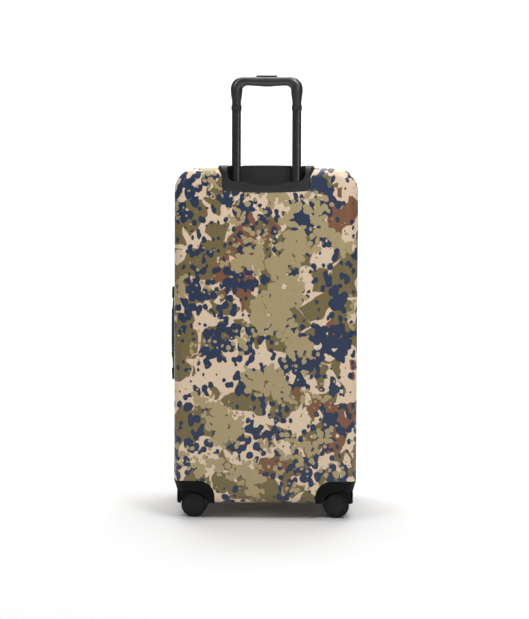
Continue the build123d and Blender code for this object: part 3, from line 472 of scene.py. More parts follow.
def squircle(count, power):
    """Points of a rounded square of half-size 1, going round once."""
    def spread(value):
        return math.copysign(abs(value) ** (2 / power), value)

    return [(spread(math.cos(turn)), spread(math.sin(turn))) for turn in circle(count)]


def ease(value):
    """Smooth step from 0 to 1."""
    value = min(max(value, 0.0), 1.0)
    return value * value * (3 - 2 * value)


CASE_CORNER = 0.050  # radius of the case's corners seen from the trolley side


def outline(inset, step):
    """Points round the case from the hinge side's top: (x, z, outward x, outward z)."""
    radius = CASE_CORNER - inset
    half, low, high = SIDE - inset, CASE_BOTTOM + inset, CASE_TOP - inset
    centres = ((half, high), (-half, high), (-half, low), (half, low))
    out = []
    for index, (x, z) in enumerate(centres):
        middle_x = x - math.copysign(radius, x)
        middle_z = z - radius if z == high else z + radius
        turns = max(int(radius * math.pi / 2 / step), 8)
        for count in range(turns + 1):
            angle = math.pi / 2 * (index + count / turns)
            cos, sin = math.cos(angle), math.sin(angle)
            out.append((middle_x + radius * cos, middle_z + radius * sin, cos, sin))
        next_x, next_z = centres[(index + 1) % 4]
        run = abs(next_x - x) + abs(next_z - z) - 2 * radius
        x0, z0, cos, sin = out[-1]
        parts = int(run / step)
        for count in range(1, parts):
            along = run * count / parts
            out.append((x0 - sin * along, z0 + cos * along, cos, sin))
    return out


# ======== zip round the seam
TAPE_INSET = 0.0025
TAPE_HALF = 0.0235
TAPE_THICK = 0.0013
TAPE_EDGE = 0.0006  # gap between the tape and the seam
TAPE_STEP = 0.006
GROOVE = (0.0085, 0.0092, 0.0098, 0.0105)  # places of the sewn groove, from the seam
GROOVE_DEPTH = 0.0004
HINGE_LOW, HINGE_HIGH = (corner.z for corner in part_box("hinge_gusset"))
HINGE_MIDDLE = (HINGE_LOW + HINGE_HIGH) / 2
TOOTH_PITCH = 0.0024
TOOTH_REACH = 0.0033  # from the seam to a tooth's root
TOOTH_CROSS = 0.0008  # how far a tooth reaches over the seam
TOOTH_SIZE = (0.0010, 0.0019)  # along the zip, and its height


def zip_run(inset, step):
    """The outline without the stretch that the hinge takes."""
    points = outline(inset, step)
    taken = [HINGE_LOW < z < HINGE_HIGH and out_x > 0.999 for _, z, out_x, _ in points]
    after = max(index for index, hit in enumerate(taken) if hit) + 1
    order = [*range(after, len(points)), *range(after)]
    return [points[index] for index in order if not taken[index]]


def zip_half(half, end):
    """Tape with its sewn groove, and one side of the coil."""
    section = ((0, TAPE_EDGE), (0, GROOVE[0]), (-GROOVE_DEPTH, GROOVE[1]), (-GROOVE_DEPTH, GROOVE[2]),
               (0, GROOVE[3]), (0, TAPE_HALF), (-TAPE_THICK, TAPE_HALF), (-TAPE_THICK, TAPE_EDGE))
    run = zip_run(TAPE_INSET, TAPE_STEP)
    tape = skin([[(x + nx * rise, end * y, z + nz * rise) for rise, y in section]
                 for x, z, nx, nz in run])
    tape = piece(f"zip_tape_{half}", tape, "zip_tape", f"{half}_half", [f"zipper_{half}"])

    teeth = bmesh.new()
    run = zip_run(TAPE_INSET, TOOTH_PITCH / 2)
    middle = end * (TOOTH_REACH - TOOTH_CROSS) / 2
    size = (TOOTH_SIZE[0], TOOTH_REACH + TOOTH_CROSS, TOOTH_SIZE[1])
    rise = TOOTH_SIZE[1] / 2
    for x, z, nx, nz in run[(0 if end < 0 else 1)::2]:
        turn = Matrix(((-nz, 0, nx), (0, 1, 0), (nx, 0, nz))).to_4x4()
        block(teeth, (x + nx * rise, middle, z + nz * rise), size, turn=turn)
    teeth = piece(f"zip_teeth_{half}", teeth, "zip_tape", f"{half}_half")


# ======== fabric hinge
GUSSET_HALF = 0.0117
GUSSET_BULGE = 0.0012
GUSSET_THICK = 0.0008
GUSSET_SUNK = 0.0003  # its edges lie this far below the case's side
GUSSET_RIB = (0.00025, 0.0039)  # height and pitch of its ribs
HINGE_TRIM = (0.0043, 0.0012)  # across the shell's rim, and its thickness
TRIM_INSET = (0.0011, 0.0002)  # from the case's side, and from the shell's rim
TRIM_BEVEL = 0.0004


def hinge_fabric():
    """Ribbed strip that joins the two halves down the hinge side."""
    shape = bmesh.new()
    columns, rows = 24, 60
    height, pitch = GUSSET_RIB
    grid = []
    for row in range(rows + 1):
        z = HINGE_LOW + (HINGE_HIGH - HINGE_LOW) * row / rows
        line = []
        for column in range(columns + 1):
            y = GUSSET_HALF * (2 * column / columns - 1)
            bulge = GUSSET_BULGE * (1 - (y / GUSSET_HALF) ** 2)
            rib = height * math.cos(math.tau * y / pitch)
            line.append((SIDE - GUSSET_SUNK + bulge + rib, y, z))
        grid.append(line)
    sheet_grid(shape, grid)
    bmesh.ops.solidify(shape, geom=shape.faces[:], thickness=GUSSET_THICK)
    strip = piece("hinge_fabric", shape, "zip_tape", replaces=["hinge_gusset"])
    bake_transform(strip)


def hinge_trims():
    """Sewn edge over each shell's bare rim, beside the hinge fabric."""
    for half, end in (("back", -1), ("front", 1)):
        shape = bmesh.new()
        x = SIDE - TRIM_INSET[0] - HINGE_TRIM[0] / 2
        y = end * (SEAM_HALF - TRIM_INSET[1] - HINGE_TRIM[1] / 2)
        block(shape, (x, y, HINGE_MIDDLE), (*HINGE_TRIM, HINGE_HIGH - HINGE_LOW), TRIM_BEVEL)
        piece(f"hinge_trim_{half}", shape, "zip_tape", f"{half}_half")


# ======== linings
LINING_INSET = 0.0052
BACK_FLOOR = -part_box("back_lining")[0].y
FRONT_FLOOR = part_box("front_lining")[1].y
LINING_THICK = 0.0009
LINING_CORNER = 0.019  # rounding of the lining's floor
LINING_STEP = 0.006
LINING_ROOM = 0.0015  # between the lining and what sticks into the case
LINING_EYE = 0.055  # depth of the point that the lining is drawn in towards
CUP_RISE = 0.004  # more room over a wheel's cup
HOUSING_ROOM = 0.003  # more room beside the trolley's housing
FAR = 2.0  # past the case in every direction
LOCK_ROOM = 0.002  # over the lock's case
LOCK_RAMPS = ((0.012, 0.012), (0.010, 0.008), (0.014, 0.012))  # reach and run: up, in, out
WRINKLE = 0.0022
RIPPLE = Vector((9, 22, 13))  # waves per metre of the wide wrinkles
CREASE = Vector((34, 30, 26))  # and of the fine ones
BINDING_RADIUS = 0.0016


def obstacles(half, end):
    """Boxes that the lining goes round: the wheel housings and, at the back, the trolley housing."""
    names = [f"wheel_housing_{corner}" for corner in CORNERS if corner.startswith(half)]
    if half == "back":
        names.append("handle_housing")
    boxes = []
    for name in names:
        low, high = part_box(name)
        low = Vector(low) - Vector((1, 1, 1)) * LINING_ROOM
        high = Vector(high) + Vector((1, 1, 1)) * LINING_ROOM
        if "wheel" in name:
            low.z, high.z = -FAR, high.z + CUP_RISE
            low.x, high.x = (-FAR, high.x) if high.x < 0 else (low.x, FAR)
        else:
            high.z = FAR
            low.x, high.x = low.x - HOUSING_ROOM, high.x + HOUSING_ROOM
        low.y, high.y = (-FAR, high.y) if end < 0 else (low.y, FAR)
        boxes.append((low, high))
    return boxes


def first_hit(eye, point, boxes):
    """Share of the way from eye to point at which the way enters a box, or 1."""
    best = 1.0
    way = point - eye
    for low, high in boxes:
        enter, leave = 0.0, 1.0
        for axis in range(3):
            if abs(way[axis]) < 1e-9:
                if not low[axis] < eye[axis] < high[axis]:
                    leave = -1.0
                continue
            shares = [(side[axis] - eye[axis]) / way[axis] for side in (low, high)]
            enter, leave = max(enter, min(shares)), min(leave, max(shares))
        if enter < leave:
            best = min(best, enter)
    return best


def over_lock(point, low, high):
    """x of a point of the back lining, moved inwards over the lock's case with ramps around it."""
    beside = abs(point.z - (low.z + high.z) / 2) - (high.z - low.z) / 2
    gaps = (beside, point.y - high.y, low.y - point.y)
    share = 1.0
    for gap, (reach, run) in zip(gaps, LOCK_RAMPS):
        share *= ease((reach - gap) / run)
    wall = LINING_INSET - SIDE
    return max(point.x, wall + (high.x - wall + LOCK_ROOM) * share)


def lining(half, end, floor):
    """Cloth tub glued into one half, drawn round what sticks into it, then wrinkled."""
    loops = []
    depth = floor - SEAM_HALF - LINING_CORNER
    steps = int(depth / LINING_STEP)
    for count in range(steps + 1):
        loops.append((0.0, SEAM_HALF + depth * count / steps))
    turns = 6
    for count in range(1, turns + 1):
        turn = math.pi / 2 * count / turns
        inward = LINING_CORNER * (1 - math.cos(turn))
        loops.append((inward, floor - LINING_CORNER * (1 - math.sin(turn))))
    ring = outline(LINING_INSET, LINING_STEP)
    middle_z = (CASE_TOP + CASE_BOTTOM) / 2
    reach_x = SIDE - LINING_INSET - LINING_CORNER
    rows = [[(x - nx * inward, end * y, z - nz * inward) for x, z, nx, nz in ring]
            for inward, y in loops]
    last = rows[-1]
    rings = int(reach_x / LINING_STEP)
    spine = 0.5 * (CASE_TOP - CASE_BOTTOM) - SIDE
    for count in range(1, rings):  # the floor, drawn in towards a line up its middle
        share = count / rings
        row = []
        for x, y, z in last:
            spine_z = middle_z + max(min(z - middle_z, spine), -spine)
            row.append((x * (1 - share), y, z + (spine_z - z) * share))
        rows.append(row)
    eye = Vector((0, end * LINING_EYE, middle_z))
    boxes = obstacles(half, end)
    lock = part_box("lock_body")
    shape = bmesh.new()
    placed = []
    for row in rows:
        line = []
        for point in row:
            point = Vector(point)
            point = eye.lerp(point, first_hit(eye, point, boxes))
            if half == "back" and point.x < 0:
                point.x = over_lock(point, *lock)
            line.append(point)
        placed.append(line)
    made = sheet_grid(shape, placed, loop=True)
    shape.faces.new(made[-1])
    inside = [vert for row in made[2:] for vert in row]
    for _ in range(2):
        bmesh.ops.smooth_vert(shape, verts=inside, factor=0.4, use_axis_x=True, use_axis_y=True,
                              use_axis_z=True)
    shape.normal_update()
    for vert in inside:  # wrinkles only ever lift the cloth off the shell
        place = vert.co
        ripple = noise.noise(place * RIPPLE)
        crease = noise.noise(place * CREASE + Vector((4, 1, 7)))
        lift = WRINKLE * (0.55 * max(ripple, 0) + 0.30 * abs(crease))
        vert.co = place + (eye - place).normalized() * lift
    bmesh.ops.solidify(shape, geom=shape.faces[:], thickness=LINING_THICK)
    cloth = piece(f"{half}_lining_cloth", shape, "lining_cloth", f"{half}_half", [f"{half}_lining"],
                  sharp=60)

    section = [(BINDING_RADIUS * math.cos(turn), SEAM_HALF + BINDING_RADIUS * (1 + math.sin(turn)))
               for turn in circle(8)]
    edge = outline(LINING_INSET + BINDING_RADIUS, LINING_STEP)
    binding = skin([[(x + nx * out, end * y, z + nz * out) for out, y in section]
                    for x, z, nx, nz in edge], closed=True)
    binding = piece(f"{half}_lining_binding", binding, "webbing", f"{half}_half")


# ======== trolley
GRIP_CORNER = 0.027  # outer radius of the grip's two corners
GRIP_INNER_CORNER = 0.011
GRIP_BAR = 0.0194  # height of the bar
GRIP_SWELL = 0.0023  # how much deeper the bar is at its middle
GRIP_LEG_INNER = 0.0525  # inner side of a leg, from the middle
GRIP_LEG_TAPER = 0.0033
GRIP_DEEP = (0.0084, 0.0126)  # half of its depth at the legs' feet, and above them
GRIP_ROUND = (36, 2.35)  # points round it, and how square they stand
GRIP_LEG_STEPS, GRIP_STEPS = 12, 14
TUBE_ROUND = (40, 2.9)
TUBE_HALF = (0.0100, 0.0065)
TUBE_WALL = 0.0011
TUBE_SHOWN_FROM = 0.446  # above the plungers' holes, inside the outer tube


def trolley_grip():
    """Rounded handle swept round its outline, deeper at its corners and under its bar's middle."""
    low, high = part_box("grip")
    middle_y = (low.y + high.y) / 2
    half, top, bottom = high.x, high.z, low.z
    thin, full = GRIP_DEEP
    inner_top = top - GRIP_BAR - GRIP_INNER_CORNER
    right = []  # (outer x and z, inner x and z, half of the depth), from a leg's foot
    for step in range(GRIP_LEG_STEPS):
        share = step / GRIP_LEG_STEPS
        taper = GRIP_LEG_TAPER * (1 - ease(share))
        outer = (half - taper, bottom + (top - GRIP_CORNER - bottom) * share)
        inner = (GRIP_LEG_INNER + taper, bottom + (inner_top - bottom) * share)
        right.append((outer, inner, thin + (full - thin) * ease(share)))
    for step in range(GRIP_STEPS + 1):
        turn = math.pi / 2 * step / GRIP_STEPS
        cos, sin = math.cos(turn), math.sin(turn)
        outer = (half - GRIP_CORNER * (1 - cos), top - GRIP_CORNER * (1 - sin))
        inner = (GRIP_LEG_INNER - GRIP_INNER_CORNER * (1 - cos), inner_top + GRIP_INNER_CORNER * sin)
        right.append((outer, inner, full))
    for step in range(1, GRIP_STEPS + 1):
        along = 1 - step / GRIP_STEPS
        outer = ((half - GRIP_CORNER) * along, top)
        inner = ((GRIP_LEG_INNER - GRIP_INNER_CORNER) * along,
                 top - GRIP_BAR - GRIP_SWELL * ease(1 - along))
        right.append((outer, inner, full))
    left = [((-a[0], a[1]), (-b[0], b[1]), deep) for a, b, deep in right[-2::-1]]
    rings = []
    for outer, inner, deep in right + left:
        outer, inner = (Vector((x, middle_y, z)) for x, z in (outer, inner))
        centre, reach = (outer + inner) / 2, (outer - inner) / 2
        rings.append([centre + reach * a + Vector((0, deep * b, 0)) for a, b in squircle(*GRIP_ROUND)])
    piece("grip_soft", skin(rings), "grip_rubber", "trolley", ["grip"])


def trolley_tubes():
    """Rounded inner tubes, hollow for the release rods."""
    low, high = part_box("inner_tubes")
    middle_y = (low.y + high.y) / 2
    for name, side in (("left", -1), ("right", 1)):
        x = side * (high.x - TUBE_HALF[0])
        rings = []
        for z, wall in ((TUBE_SHOWN_FROM, 0), (high.z, 0), (high.z, TUBE_WALL),
                        (TUBE_SHOWN_FROM, TUBE_WALL)):
            rings.append([(x + (TUBE_HALF[0] - wall) * a, middle_y + (TUBE_HALF[1] - wall) * b, z)
                          for a, b in squircle(*TUBE_ROUND)])
        tube = piece(f"inner_tube_{name}", skin(rings, closed=True), "black_aluminium", "trolley")
        if side < 0:
            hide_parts("inner_tubes")


# ======== wheel arches
ARCH_WALL = (0.024, 0.0025, 0.034)  # plate that closes each arch towards the middle of the case
ARCH_WALL_INSET = 0.0085
ARCH_WALL_Y = 0.0785
SKIRT = (0.0018, 0.078, 0.026)  # plate inside the guard's side face, past the wheels' reach
SKIRT_INSET = 0.0083
SKIRT_Y = 0.119
PLATE_RISE = 0.0005  # both plates start this far above the guard's lower edge
PLATE_BEVEL = 0.0006
LIP_REACH = (0.0283, 0.0350)  # rolled edge on the arch's outer side, round the wheel's middle
LIP_Y = (0.1665, 0.1700)
LIP_TURN = (17, 80)  # degrees
LIP_STEPS = 18


def arch_walls():
    """Plate inside each wheel housing, outside the circle that the turning wheels sweep."""
    for corner in CORNERS:
        low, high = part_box(f"wheel_housing_{corner}")
        end = -1 if corner.startswith("back") else 1
        side = -1 if high.x < 0 else 1
        shape = bmesh.new()
        for size, inset, y in ((ARCH_WALL, ARCH_WALL_INSET + ARCH_WALL[0] / 2, ARCH_WALL_Y),
                               (SKIRT, SKIRT_INSET, SKIRT_Y)):
            place = (side * (SIDE - inset), end * y, low.z + PLATE_RISE + size[2] / 2)
            block(shape, place, size, PLATE_BEVEL)
        tyre_low, tyre_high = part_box(f"tyre_{corner}_outer")
        hub = (tyre_low + tyre_high) / 2
        (near, far), (inner_y, outer_y) = LIP_REACH, LIP_Y
        section = ((near, inner_y), (far, inner_y), (far, outer_y), (near, outer_y))
        rings = []
        for step in range(LIP_STEPS + 1):
            turn = math.radians(LIP_TURN[0] + (LIP_TURN[1] - LIP_TURN[0]) * step / LIP_STEPS)
            cos, sin = side * math.cos(turn), math.sin(turn)
            rings.append([(hub.x + reach * cos, end * y, hub.z + reach * sin) for reach, y in section])
        skin(rings, shape=shape)
        body = "back_half" if end < 0 else "front_half"
        wall = piece(f"arch_wall_{corner}", shape, "black_plastic", body)
        # the arch plates get the matt black that is painted darker as shade under the case
        wall.data.materials[0] = SHADED_MATT_BLACK


# ======== straps, buckles and mesh pocket
STRAP_HALF_WIDTH = 0.019
STRAP_SAG = 0.0006
STRAP_STEPS = 70
STRAP_SECTION = ((-1, 0.35), (-1, 0.65), (-0.97, 1), (-0.5, 1), (0, 1), (0.5, 1), (0.97, 1), (1, 0.65),
                 (1, 0.35), (0.97, 0), (0, 0), (-0.97, 0))  # across, and share of its thickness
STITCH_PITCH = 0.0035
STITCH_SIZE = (0.0022, 0.0004, 0.0005)
STITCH_LIFT = 0.0002
SEWN_HALF = 0.0145  # half of a sewn box's height
SEWN_ENDS = (0.020, 0.005)  # its two upright rows, from the strap's end


def strap_places():
    """Heights of the two packing straps."""
    low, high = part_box("packing_straps")
    return (low.z + STRAP_HALF_WIDTH, high.z - STRAP_HALF_WIDTH)


def straps():
    """Two webbing straps, sewn down at each end with a box of stitches."""
    low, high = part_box("packing_straps")
    shape, stitches = bmesh.new(), bmesh.new()
    thread_y = high.y + STITCH_LIFT
    for height in strap_places():
        rings = []
        for step in range(STRAP_STEPS + 1):
            x = low.x + (high.x - low.x) * step / STRAP_STEPS
            ripple = STRAP_SAG * noise.noise(Vector((x * 18, height * 7, 0)))
            rings.append([(x, low.y + (high.y - low.y) * v + (ripple if v > 0.5 else 0),
                           height + STRAP_HALF_WIDTH * u) for u, v in STRAP_SECTION])
        skin(rings, shape=shape)
        for side in (-1, 1):
            for rise in (-SEWN_HALF, SEWN_HALF):
                for shift in (-0.0070, -0.0028, 0.0014, 0.0056):
                    x = side * (high.x - 0.012) + shift
                    block(stitches, (x, thread_y, height + rise), STITCH_SIZE)
            for step in range(int(2 * SEWN_HALF / STITCH_PITCH)):
                z = height - SEWN_HALF + STITCH_PITCH * (step + 0.5)
                for inset in SEWN_ENDS:
                    block(stitches, (side * (high.x - inset), thread_y, z), STITCH_SIZE[::-1])
    piece("packing_webbing", shape, "webbing", "back_half", ["packing_straps"])
    piece("packing_strap_stitching", stitches, "lining_cloth", "back_half")


RIB_PLACES = (-0.016, -0.010, -0.004)  # grip ribs on the socket
RIB_SIZE = (0.0020, 0.0012, 0.030)


def buckles():
    """Side-release buckles: a socket, a plug with two prongs, and a frame for the strap at each end."""
    low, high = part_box("strap_buckles")
    middle_y = (low.y + high.y) / 2
    deep = high.y - low.y
    half = (high.x - low.x) / 2
    # x, y from the middle, rises, size with its depth as a share, bevel, segments
    parts = (
        (-0.010, 0, (0,), (0.034, 0.96, 0.044), 0.0030, 3),
        (0.0030 - half, -0.0008, (0,), (0.006, 0.60, 0.046), 0.0018, 2),
        (0.0075 - half, -0.0008, (-0.0205, 0.0205), (0.014, 0.60, 0.0046), 0.0015, 2),
        (0.0115, 0, (-0.0178, 0.0178), (0.014, 0.62, 0.0050), 0.0018, 2),
        (0.0030, 0, (-0.0215, 0.0215), (0.013, 0.66, 0.0040), 0.0016, 2),
        (0.0115, 0, (0,), (0.015, 0.50, 0.0060), 0.0014, 2),
        (0.0215, 0, (0,), (0.010, 0.86, 0.045), 0.0024, 3),
        (0.0295, -0.0006, (-0.0205, 0.0205), (0.013, 0.60, 0.0046), 0.0015, 2),
        (0.0335, -0.0006, (0,), (0.0046, 0.60, 0.045), 0.0018, 2),
    )
    shape = bmesh.new()
    for height in strap_places():
        for x, y, rises, (wide, share, tall), bevel, segments in parts:
            for rise in rises:
                place = (x, middle_y + y, height + rise)
                block(shape, place, (wide, deep * share, tall), bevel, segments)
        for x in RIB_PLACES:
            block(shape, (x, high.y - RIB_SIZE[1] / 2, height), RIB_SIZE, 0.0005)
    piece("release_buckles", shape, "black_plastic", "back_half", ["strap_buckles"])


POCKET_CORNER = 0.020
MESH_HEM = 0.009
MESH_CELL = 0.0060
NET_INSET = 0.002
NET_THREAD = 0.0011
HEM_SOFT = 0.0004  # how far the hem's edges are rounded back
ELASTIC_INSET = (0.014, 0.030)  # from the pocket's sides, and from its top
ELASTIC_HALF = 0.005
ELASTIC_PUFF = 0.00011
ELASTIC_STEPS = 120


def rounded_frame(low, high, radius, count=8):
    """Rounded rectangle as (x, z) points."""
    out = []
    corners = ((high.x, high.z), (low.x, high.z), (low.x, low.z), (high.x, low.z))
    for index, (x, z) in enumerate(corners):
        cx = x - radius if x == high.x else x + radius
        cz = z - radius if z == high.z else z + radius
        for step in range(count + 1):
            turn = math.pi / 2 * (index + step / count)
            out.append((cx + radius * math.cos(turn), cz + radius * math.sin(turn)))
    return out


def mesh_pocket():
    """Net of crossing threads inside a bound hem, with an elastic band near its top."""
    low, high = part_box("mesh_pocket")
    face, back = low.y, high.y
    lines = []
    for start, end in ((low.x, high.x), (low.z, high.z)):
        room = end - start - 2 * NET_INSET
        count = int(room / MESH_CELL)
        lines.append([start + NET_INSET + room / count * step for step in range(count + 1)])
    net = bmesh.new()
    sheet_grid(net, [[(x, (face + back) / 2 - 0.0003 * noise.noise(Vector((x * 14, z * 9, 2))), z)
                      for x in lines[0]] for z in lines[1]])
    middle_z, half_z = (low.z + high.z) / 2, (high.z - low.z) / 2
    gone = []  # corners of the net outside the rounded hem
    for vert in net.verts:
        x = abs(vert.co.x) - (high.x - POCKET_CORNER)
        z = abs(vert.co.z - middle_z) - (half_z - POCKET_CORNER)
        if x > 0 and z > 0 and math.hypot(x, z) > POCKET_CORNER - 0.001:
            gone.append(vert)
    bmesh.ops.delete(net, geom=gone, context="VERTS")
    net = piece("pocket_net", net, "mesh", "front_half", ["mesh_pocket"])
    wire = net.modifiers.new("threads", "WIREFRAME")
    wire.thickness = NET_THREAD
    wire.use_even_offset = False

    inward = Vector((MESH_HEM, 0, MESH_HEM))
    outer = rounded_frame(low, high, POCKET_CORNER)
    inner = rounded_frame(low + inward, high - inward, POCKET_CORNER - MESH_HEM)
    edge = face + HEM_SOFT
    section = ((0, back), (0, edge), (0.3, face), (0.7, face), (1, edge), (1, back))
    hem = skin([[(x + (ix - x) * share, y, z + (iz - z) * share) for share, y in section]
                for (x, z), (ix, iz) in zip(outer, inner)], closed=True)
    hem = piece("pocket_hem", hem, "webbing", "front_half")

    side, top = ELASTIC_INSET
    rings = []
    for step in range(ELASTIC_STEPS + 1):
        x = low.x + side + (high.x - low.x - 2 * side) * step / ELASTIC_STEPS
        puff = ELASTIC_PUFF * math.sin(step * math.pi / 1.5) - 0.0001
        rings.append([(x, face + puff + (back - face) / 4 * (1 - math.cos(turn)),
                       high.z - top + ELASTIC_HALF * math.sin(turn)) for turn in circle(10)])
    elastic = piece("pocket_elastic", skin(rings), "webbing", "front_half")


# ======== carry handles
GRIP_REACH = 0.056  # half the length of the ribbed grip
RIBBED_REACH = 0.046  # half of the length with ribs
RIB_PITCH = 0.0052
RIB_DEPTH = 0.0009  # also how much the grip's ends are drawn in
RIB_RAMP = 0.004
HANDLE_STEP = 0.0006
HANDLE_BOW = 0.0030  # how much lower the top is at HANDLE_HALF from the middle
HANDLE_HALF = 0.103
SLEEVE_LAP = 0.003  # how far a neck reaches under the grip
SLEEVE_END = 0.086  # how far a neck reaches into the end cap
SLEEVE_STEPS = 24
BEND_START = 0.0795  # start of a neck's bend, only read into a point that nothing uses


def handle_frame(node):
    """(middle, along, out) of a carry handle; across it is y."""
    low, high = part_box(node)
    middle = (low + high) / 2
    if node == "top_handle":
        return Vector((0, middle.y, CASE_TOP)), Vector((1, 0, 0)), Vector((0, 0, 1))
    return Vector((-SIDE, middle.y, middle.z)), Vector((0, 0, 1)), Vector((-1, 0, 0))


def carry_handle(node):
    """Soft grip with ribs across it, and at each end a neck that runs into the end cap."""
    place, along, out = handle_frame(node)
    low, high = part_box(node)
    half_width = (high.y - low.y) / 2
    if node == "top_handle":
        under, over = low.z - CASE_TOP, high.z - CASE_TOP
    else:
        under, over = -SIDE - high.x, -SIDE - low.x

    def ring(u, low, drop, half, power, count):
        """Section at u along the handle, its top lowered by drop from the bowed outline."""
        high = over - HANDLE_BOW * (u / HANDLE_HALF) ** 2 - drop
        centre = place + along * u + out * (low + high) / 2
        return [centre + Vector((0, half * a, 0)) + out * ((high - low) / 2 * b)
                for a, b in squircle(count, power)]

    rings = []
    steps = int(2 * GRIP_REACH / HANDLE_STEP)
    for step in range(steps + 1):
        u = -GRIP_REACH + 2 * GRIP_REACH * step / steps
        fall = ease((GRIP_REACH - abs(u)) / RIB_RAMP)
        rib = ease((RIBBED_REACH - abs(u)) / RIB_RAMP)
        rib *= (0.5 + 0.5 * math.cos(math.tau * u / RIB_PITCH)) ** 3
        shrink = RIB_DEPTH * (1 - fall + rib)
        rings.append(ring(u, under + shrink * 0.5, shrink, half_width - shrink, 3.6, 40))
    piece(f"{node}_grip", skin(rings), "grip_rubber", node, [node])
    for side, name in ((-1, "near"), (1, "far")):
        rings = []
        for step in range(SLEEVE_STEPS + 1):
            start = GRIP_REACH - SLEEVE_LAP
            u = side * (start + (SLEEVE_END - start) * step / SLEEVE_STEPS)
            waist = 0.0025 - 0.0003 * math.cos(step * math.pi * 0.72)
            rings.append(ring(u, under + 0.0008, waist * 0.55, half_width - waist, 3.2, 32))
        neck = piece(f"{node}_neck_{name}", skin(rings), "grip_rubber")
        start, end = (tuple(place + along * side * reach + out * (under + over) / 2)
                      for reach in (BEND_START, GRIP_REACH + SLEEVE_LAP))
        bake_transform(neck)


# ======== lock
DIAL_TEETH = 20
DIAL_POINTS = 6  # round each tooth
DIAL_NOTCH = 0.00055
DIAL_BORE = 0.0017
DIAL_EDGE = (0.0007, 0.0010)  # height and depth of the bevel at its ends
KEY_DROP = 0.0075  # from the lock's top to its key slot
KEY_RING = (0.0040, 0.0010)  # radius and height
KEY_SLOT = (0.0004, 0.0010, 0.0046)
LATCH_SUNK = 0.0004  # the latch is drawn this much thinner, under its ridges
LATCH_RIDGE = (0.0006, 0.0009)  # its height and width
LATCH_PITCH = 0.0019


def lock_details():
    """Ridged dials and latch, and a key slot in a steel ring."""
    low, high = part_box("lock_body")
    middle_y = (low.y + high.y) / 2
    turns = circle(DIAL_TEETH * DIAL_POINTS)
    for index in (1, 2, 3):
        first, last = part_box(f"lock_dial_{index}")
        middle = (first + last) / 2
        radius = (last.y - first.y) / 2
        inset, shrink = DIAL_EDGE
        loops = []
        for z, smaller in ((first.z, shrink), (first.z + inset, 0), (last.z - inset, 0),
                           (last.z, shrink)):
            reaches = [radius - smaller - DIAL_NOTCH * (0.5 + 0.5 * math.cos(DIAL_TEETH * turn)) ** 4
                       for turn in turns]
            loops.append((z, reaches))
        loops += [(z, [DIAL_BORE] * len(turns)) for z in (last.z, first.z)]
        shape = skin([[(middle.x + reach * math.cos(turn), middle.y + reach * math.sin(turn), z)
                       for reach, turn in zip(reaches, turns)] for z, reaches in loops], closed=True)
        piece(f"lock_dial_{index}_ridged", shape, "dial_plastic", f"dial_{index}",
              [f"lock_dial_{index}"], sharp=30)

    radius, height = KEY_RING
    key = Vector((low.x, middle_y, high.z - KEY_DROP))
    shape = bmesh.new()
    place = Matrix.Translation(key) @ Matrix.Rotation(math.pi / 2, 4, "Y")
    bmesh.ops.create_cone(shape, cap_ends=True, segments=32, radius1=radius, radius2=radius,
                          depth=height, matrix=place)
    piece("lock_key_ring", shape, "steel", "back_half")
    shape = bmesh.new()
    block(shape, key - Vector((height / 2, 0, 0)), KEY_SLOT, 0.0001, 1)
    piece("lock_key_slot", shape, "black_plastic", "back_half")

    first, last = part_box("lock_latch")
    middle, size = (first + last) / 2, last - first
    shape = bmesh.new()
    block(shape, middle + Vector((LATCH_SUNK / 2, 0, 0)), (size.x - LATCH_SUNK, size.y, size.z), 0.0006)
    for step in range(-2, 3):
        place = (first.x + 0.0002, middle.y, middle.z + step * LATCH_PITCH)
        block(shape, place, (LATCH_RIDGE[0], size.y * 0.8, LATCH_RIDGE[1]), 0.0002, 1)
    piece("lock_latch_ribbed", shape, "black_plastic", "latch", ["lock_latch"])


# ======== zip sliders
SLIDER_SKIRT = 0.0016  # thickness of the slider's wings
PULL_THICK = 0.0011
PULL_RIDGE = (0.0004, 0.0008, 0.0036)
PULL_RIDGE_PITCH = 0.0018
# Sections of the pull from its loop to its tip: (y, half width, half width of the hole).
PULL_LOOP = ((0.0040, 0.0022, 0.0008), (0.0032, 0.0028, 0.0016), (0.0016, 0.0030, 0.0019),
             (-0.0016, 0.0030, 0.0019), (-0.0032, 0.0029, 0.0016), (-0.0040, 0.0026, 0.0008))
PULL_STEM = ((-0.0038, 0.0024), (-0.0060, 0.0019), (-0.0110, 0.0021), (-0.0180, 0.0027))
PULL_TIP = ((0.0030, 0.0030), (0.0010, 0.0026), (0, 0.0016))  # (from its end, half width)

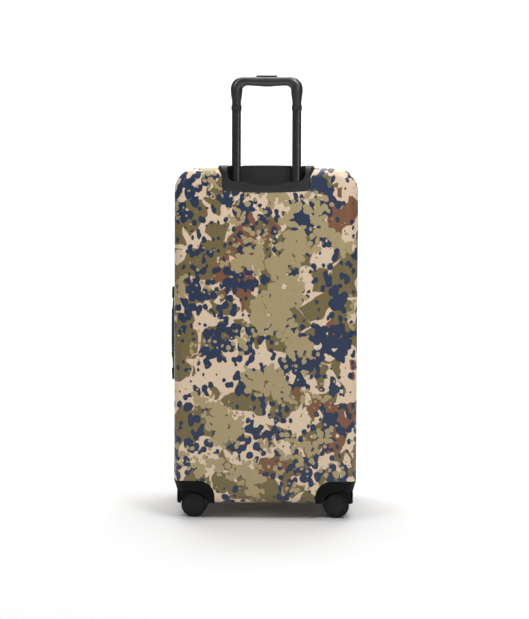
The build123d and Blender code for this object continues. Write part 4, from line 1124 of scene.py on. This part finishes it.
PULL_SECTION = ((0, -0.85), (0.25, -1), (0.75, -1), (1, -0.85),
                (1, 0.85), (0.75, 1), (0.25, 1), (0, 0.85))


def slider_pulls():
    """A winged body with a bridge on each zip slider, and a tapered pull with a slot in it."""
    for name in ("upper", "lower"):
        low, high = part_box(f"zip_slider_{name}")
        z, long = (low.z + high.z) / 2, high.z - low.z
        base = high.x - SLIDER_SKIRT / 2
        shape = bmesh.new()
        for y in (-0.0024, 0.0024):
            block(shape, (base, y, z), (SLIDER_SKIRT, 0.0040, long), 0.0006, 3)
        block(shape, (base - 0.0003, 0, z), (SLIDER_SKIRT, 0.0062, long * 0.84), 0.0007, 3)
        for rise in (-0.0036, 0.0036):
            block(shape, (high.x - 0.0025, 0, z + rise), (0.0022, 0.0026, 0.0016), 0.0005)
        block(shape, (low.x + 0.0005, 0, z), (0.0009, 0.0026, 0.0088), 0.0004)
        piece(f"zip_slider_{name}_body", shape, "zip_metal", f"zip_{name}", [f"zip_slider_{name}"])

        shape = bmesh.new()
        face, end_y = low.x + 0.0013, low.y + 0.0006
        far = face + PULL_THICK
        for side in (-1, 1):
            skin([[(x, y, z + side * rise) for x, rise in (
                (face, hole), (far, hole), (far, half), (face, half))]
                for y, half, hole in PULL_LOOP], shape=shape)
        stem = PULL_STEM + tuple((end_y + back, half) for back, half in PULL_TIP)
        skin([[(face + PULL_THICK * deep, y, z + half * rise) for deep, rise in PULL_SECTION]
              for y, half in stem], shape=shape)
        for step in range(5):
            place = (face, -0.0150 - step * PULL_RIDGE_PITCH, z)
            block(shape, place, PULL_RIDGE, 0.0001, 1)
        piece(f"zip_pull_{name}", shape, "zip_metal", f"zip_{name}")


set_camera()
set_stage()
dress_cad_nodes()
zip_half("back", -1)
zip_half("front", 1)
hinge_fabric()
hinge_trims()
lining("back", -1, BACK_FLOOR)
lining("front", 1, FRONT_FLOOR)
straps()
buckles()
mesh_pocket()
carry_handle("top_handle")
carry_handle("side_handle")
lock_details()
slider_pulls()
trolley_grip()
trolley_tubes()
arch_walls()
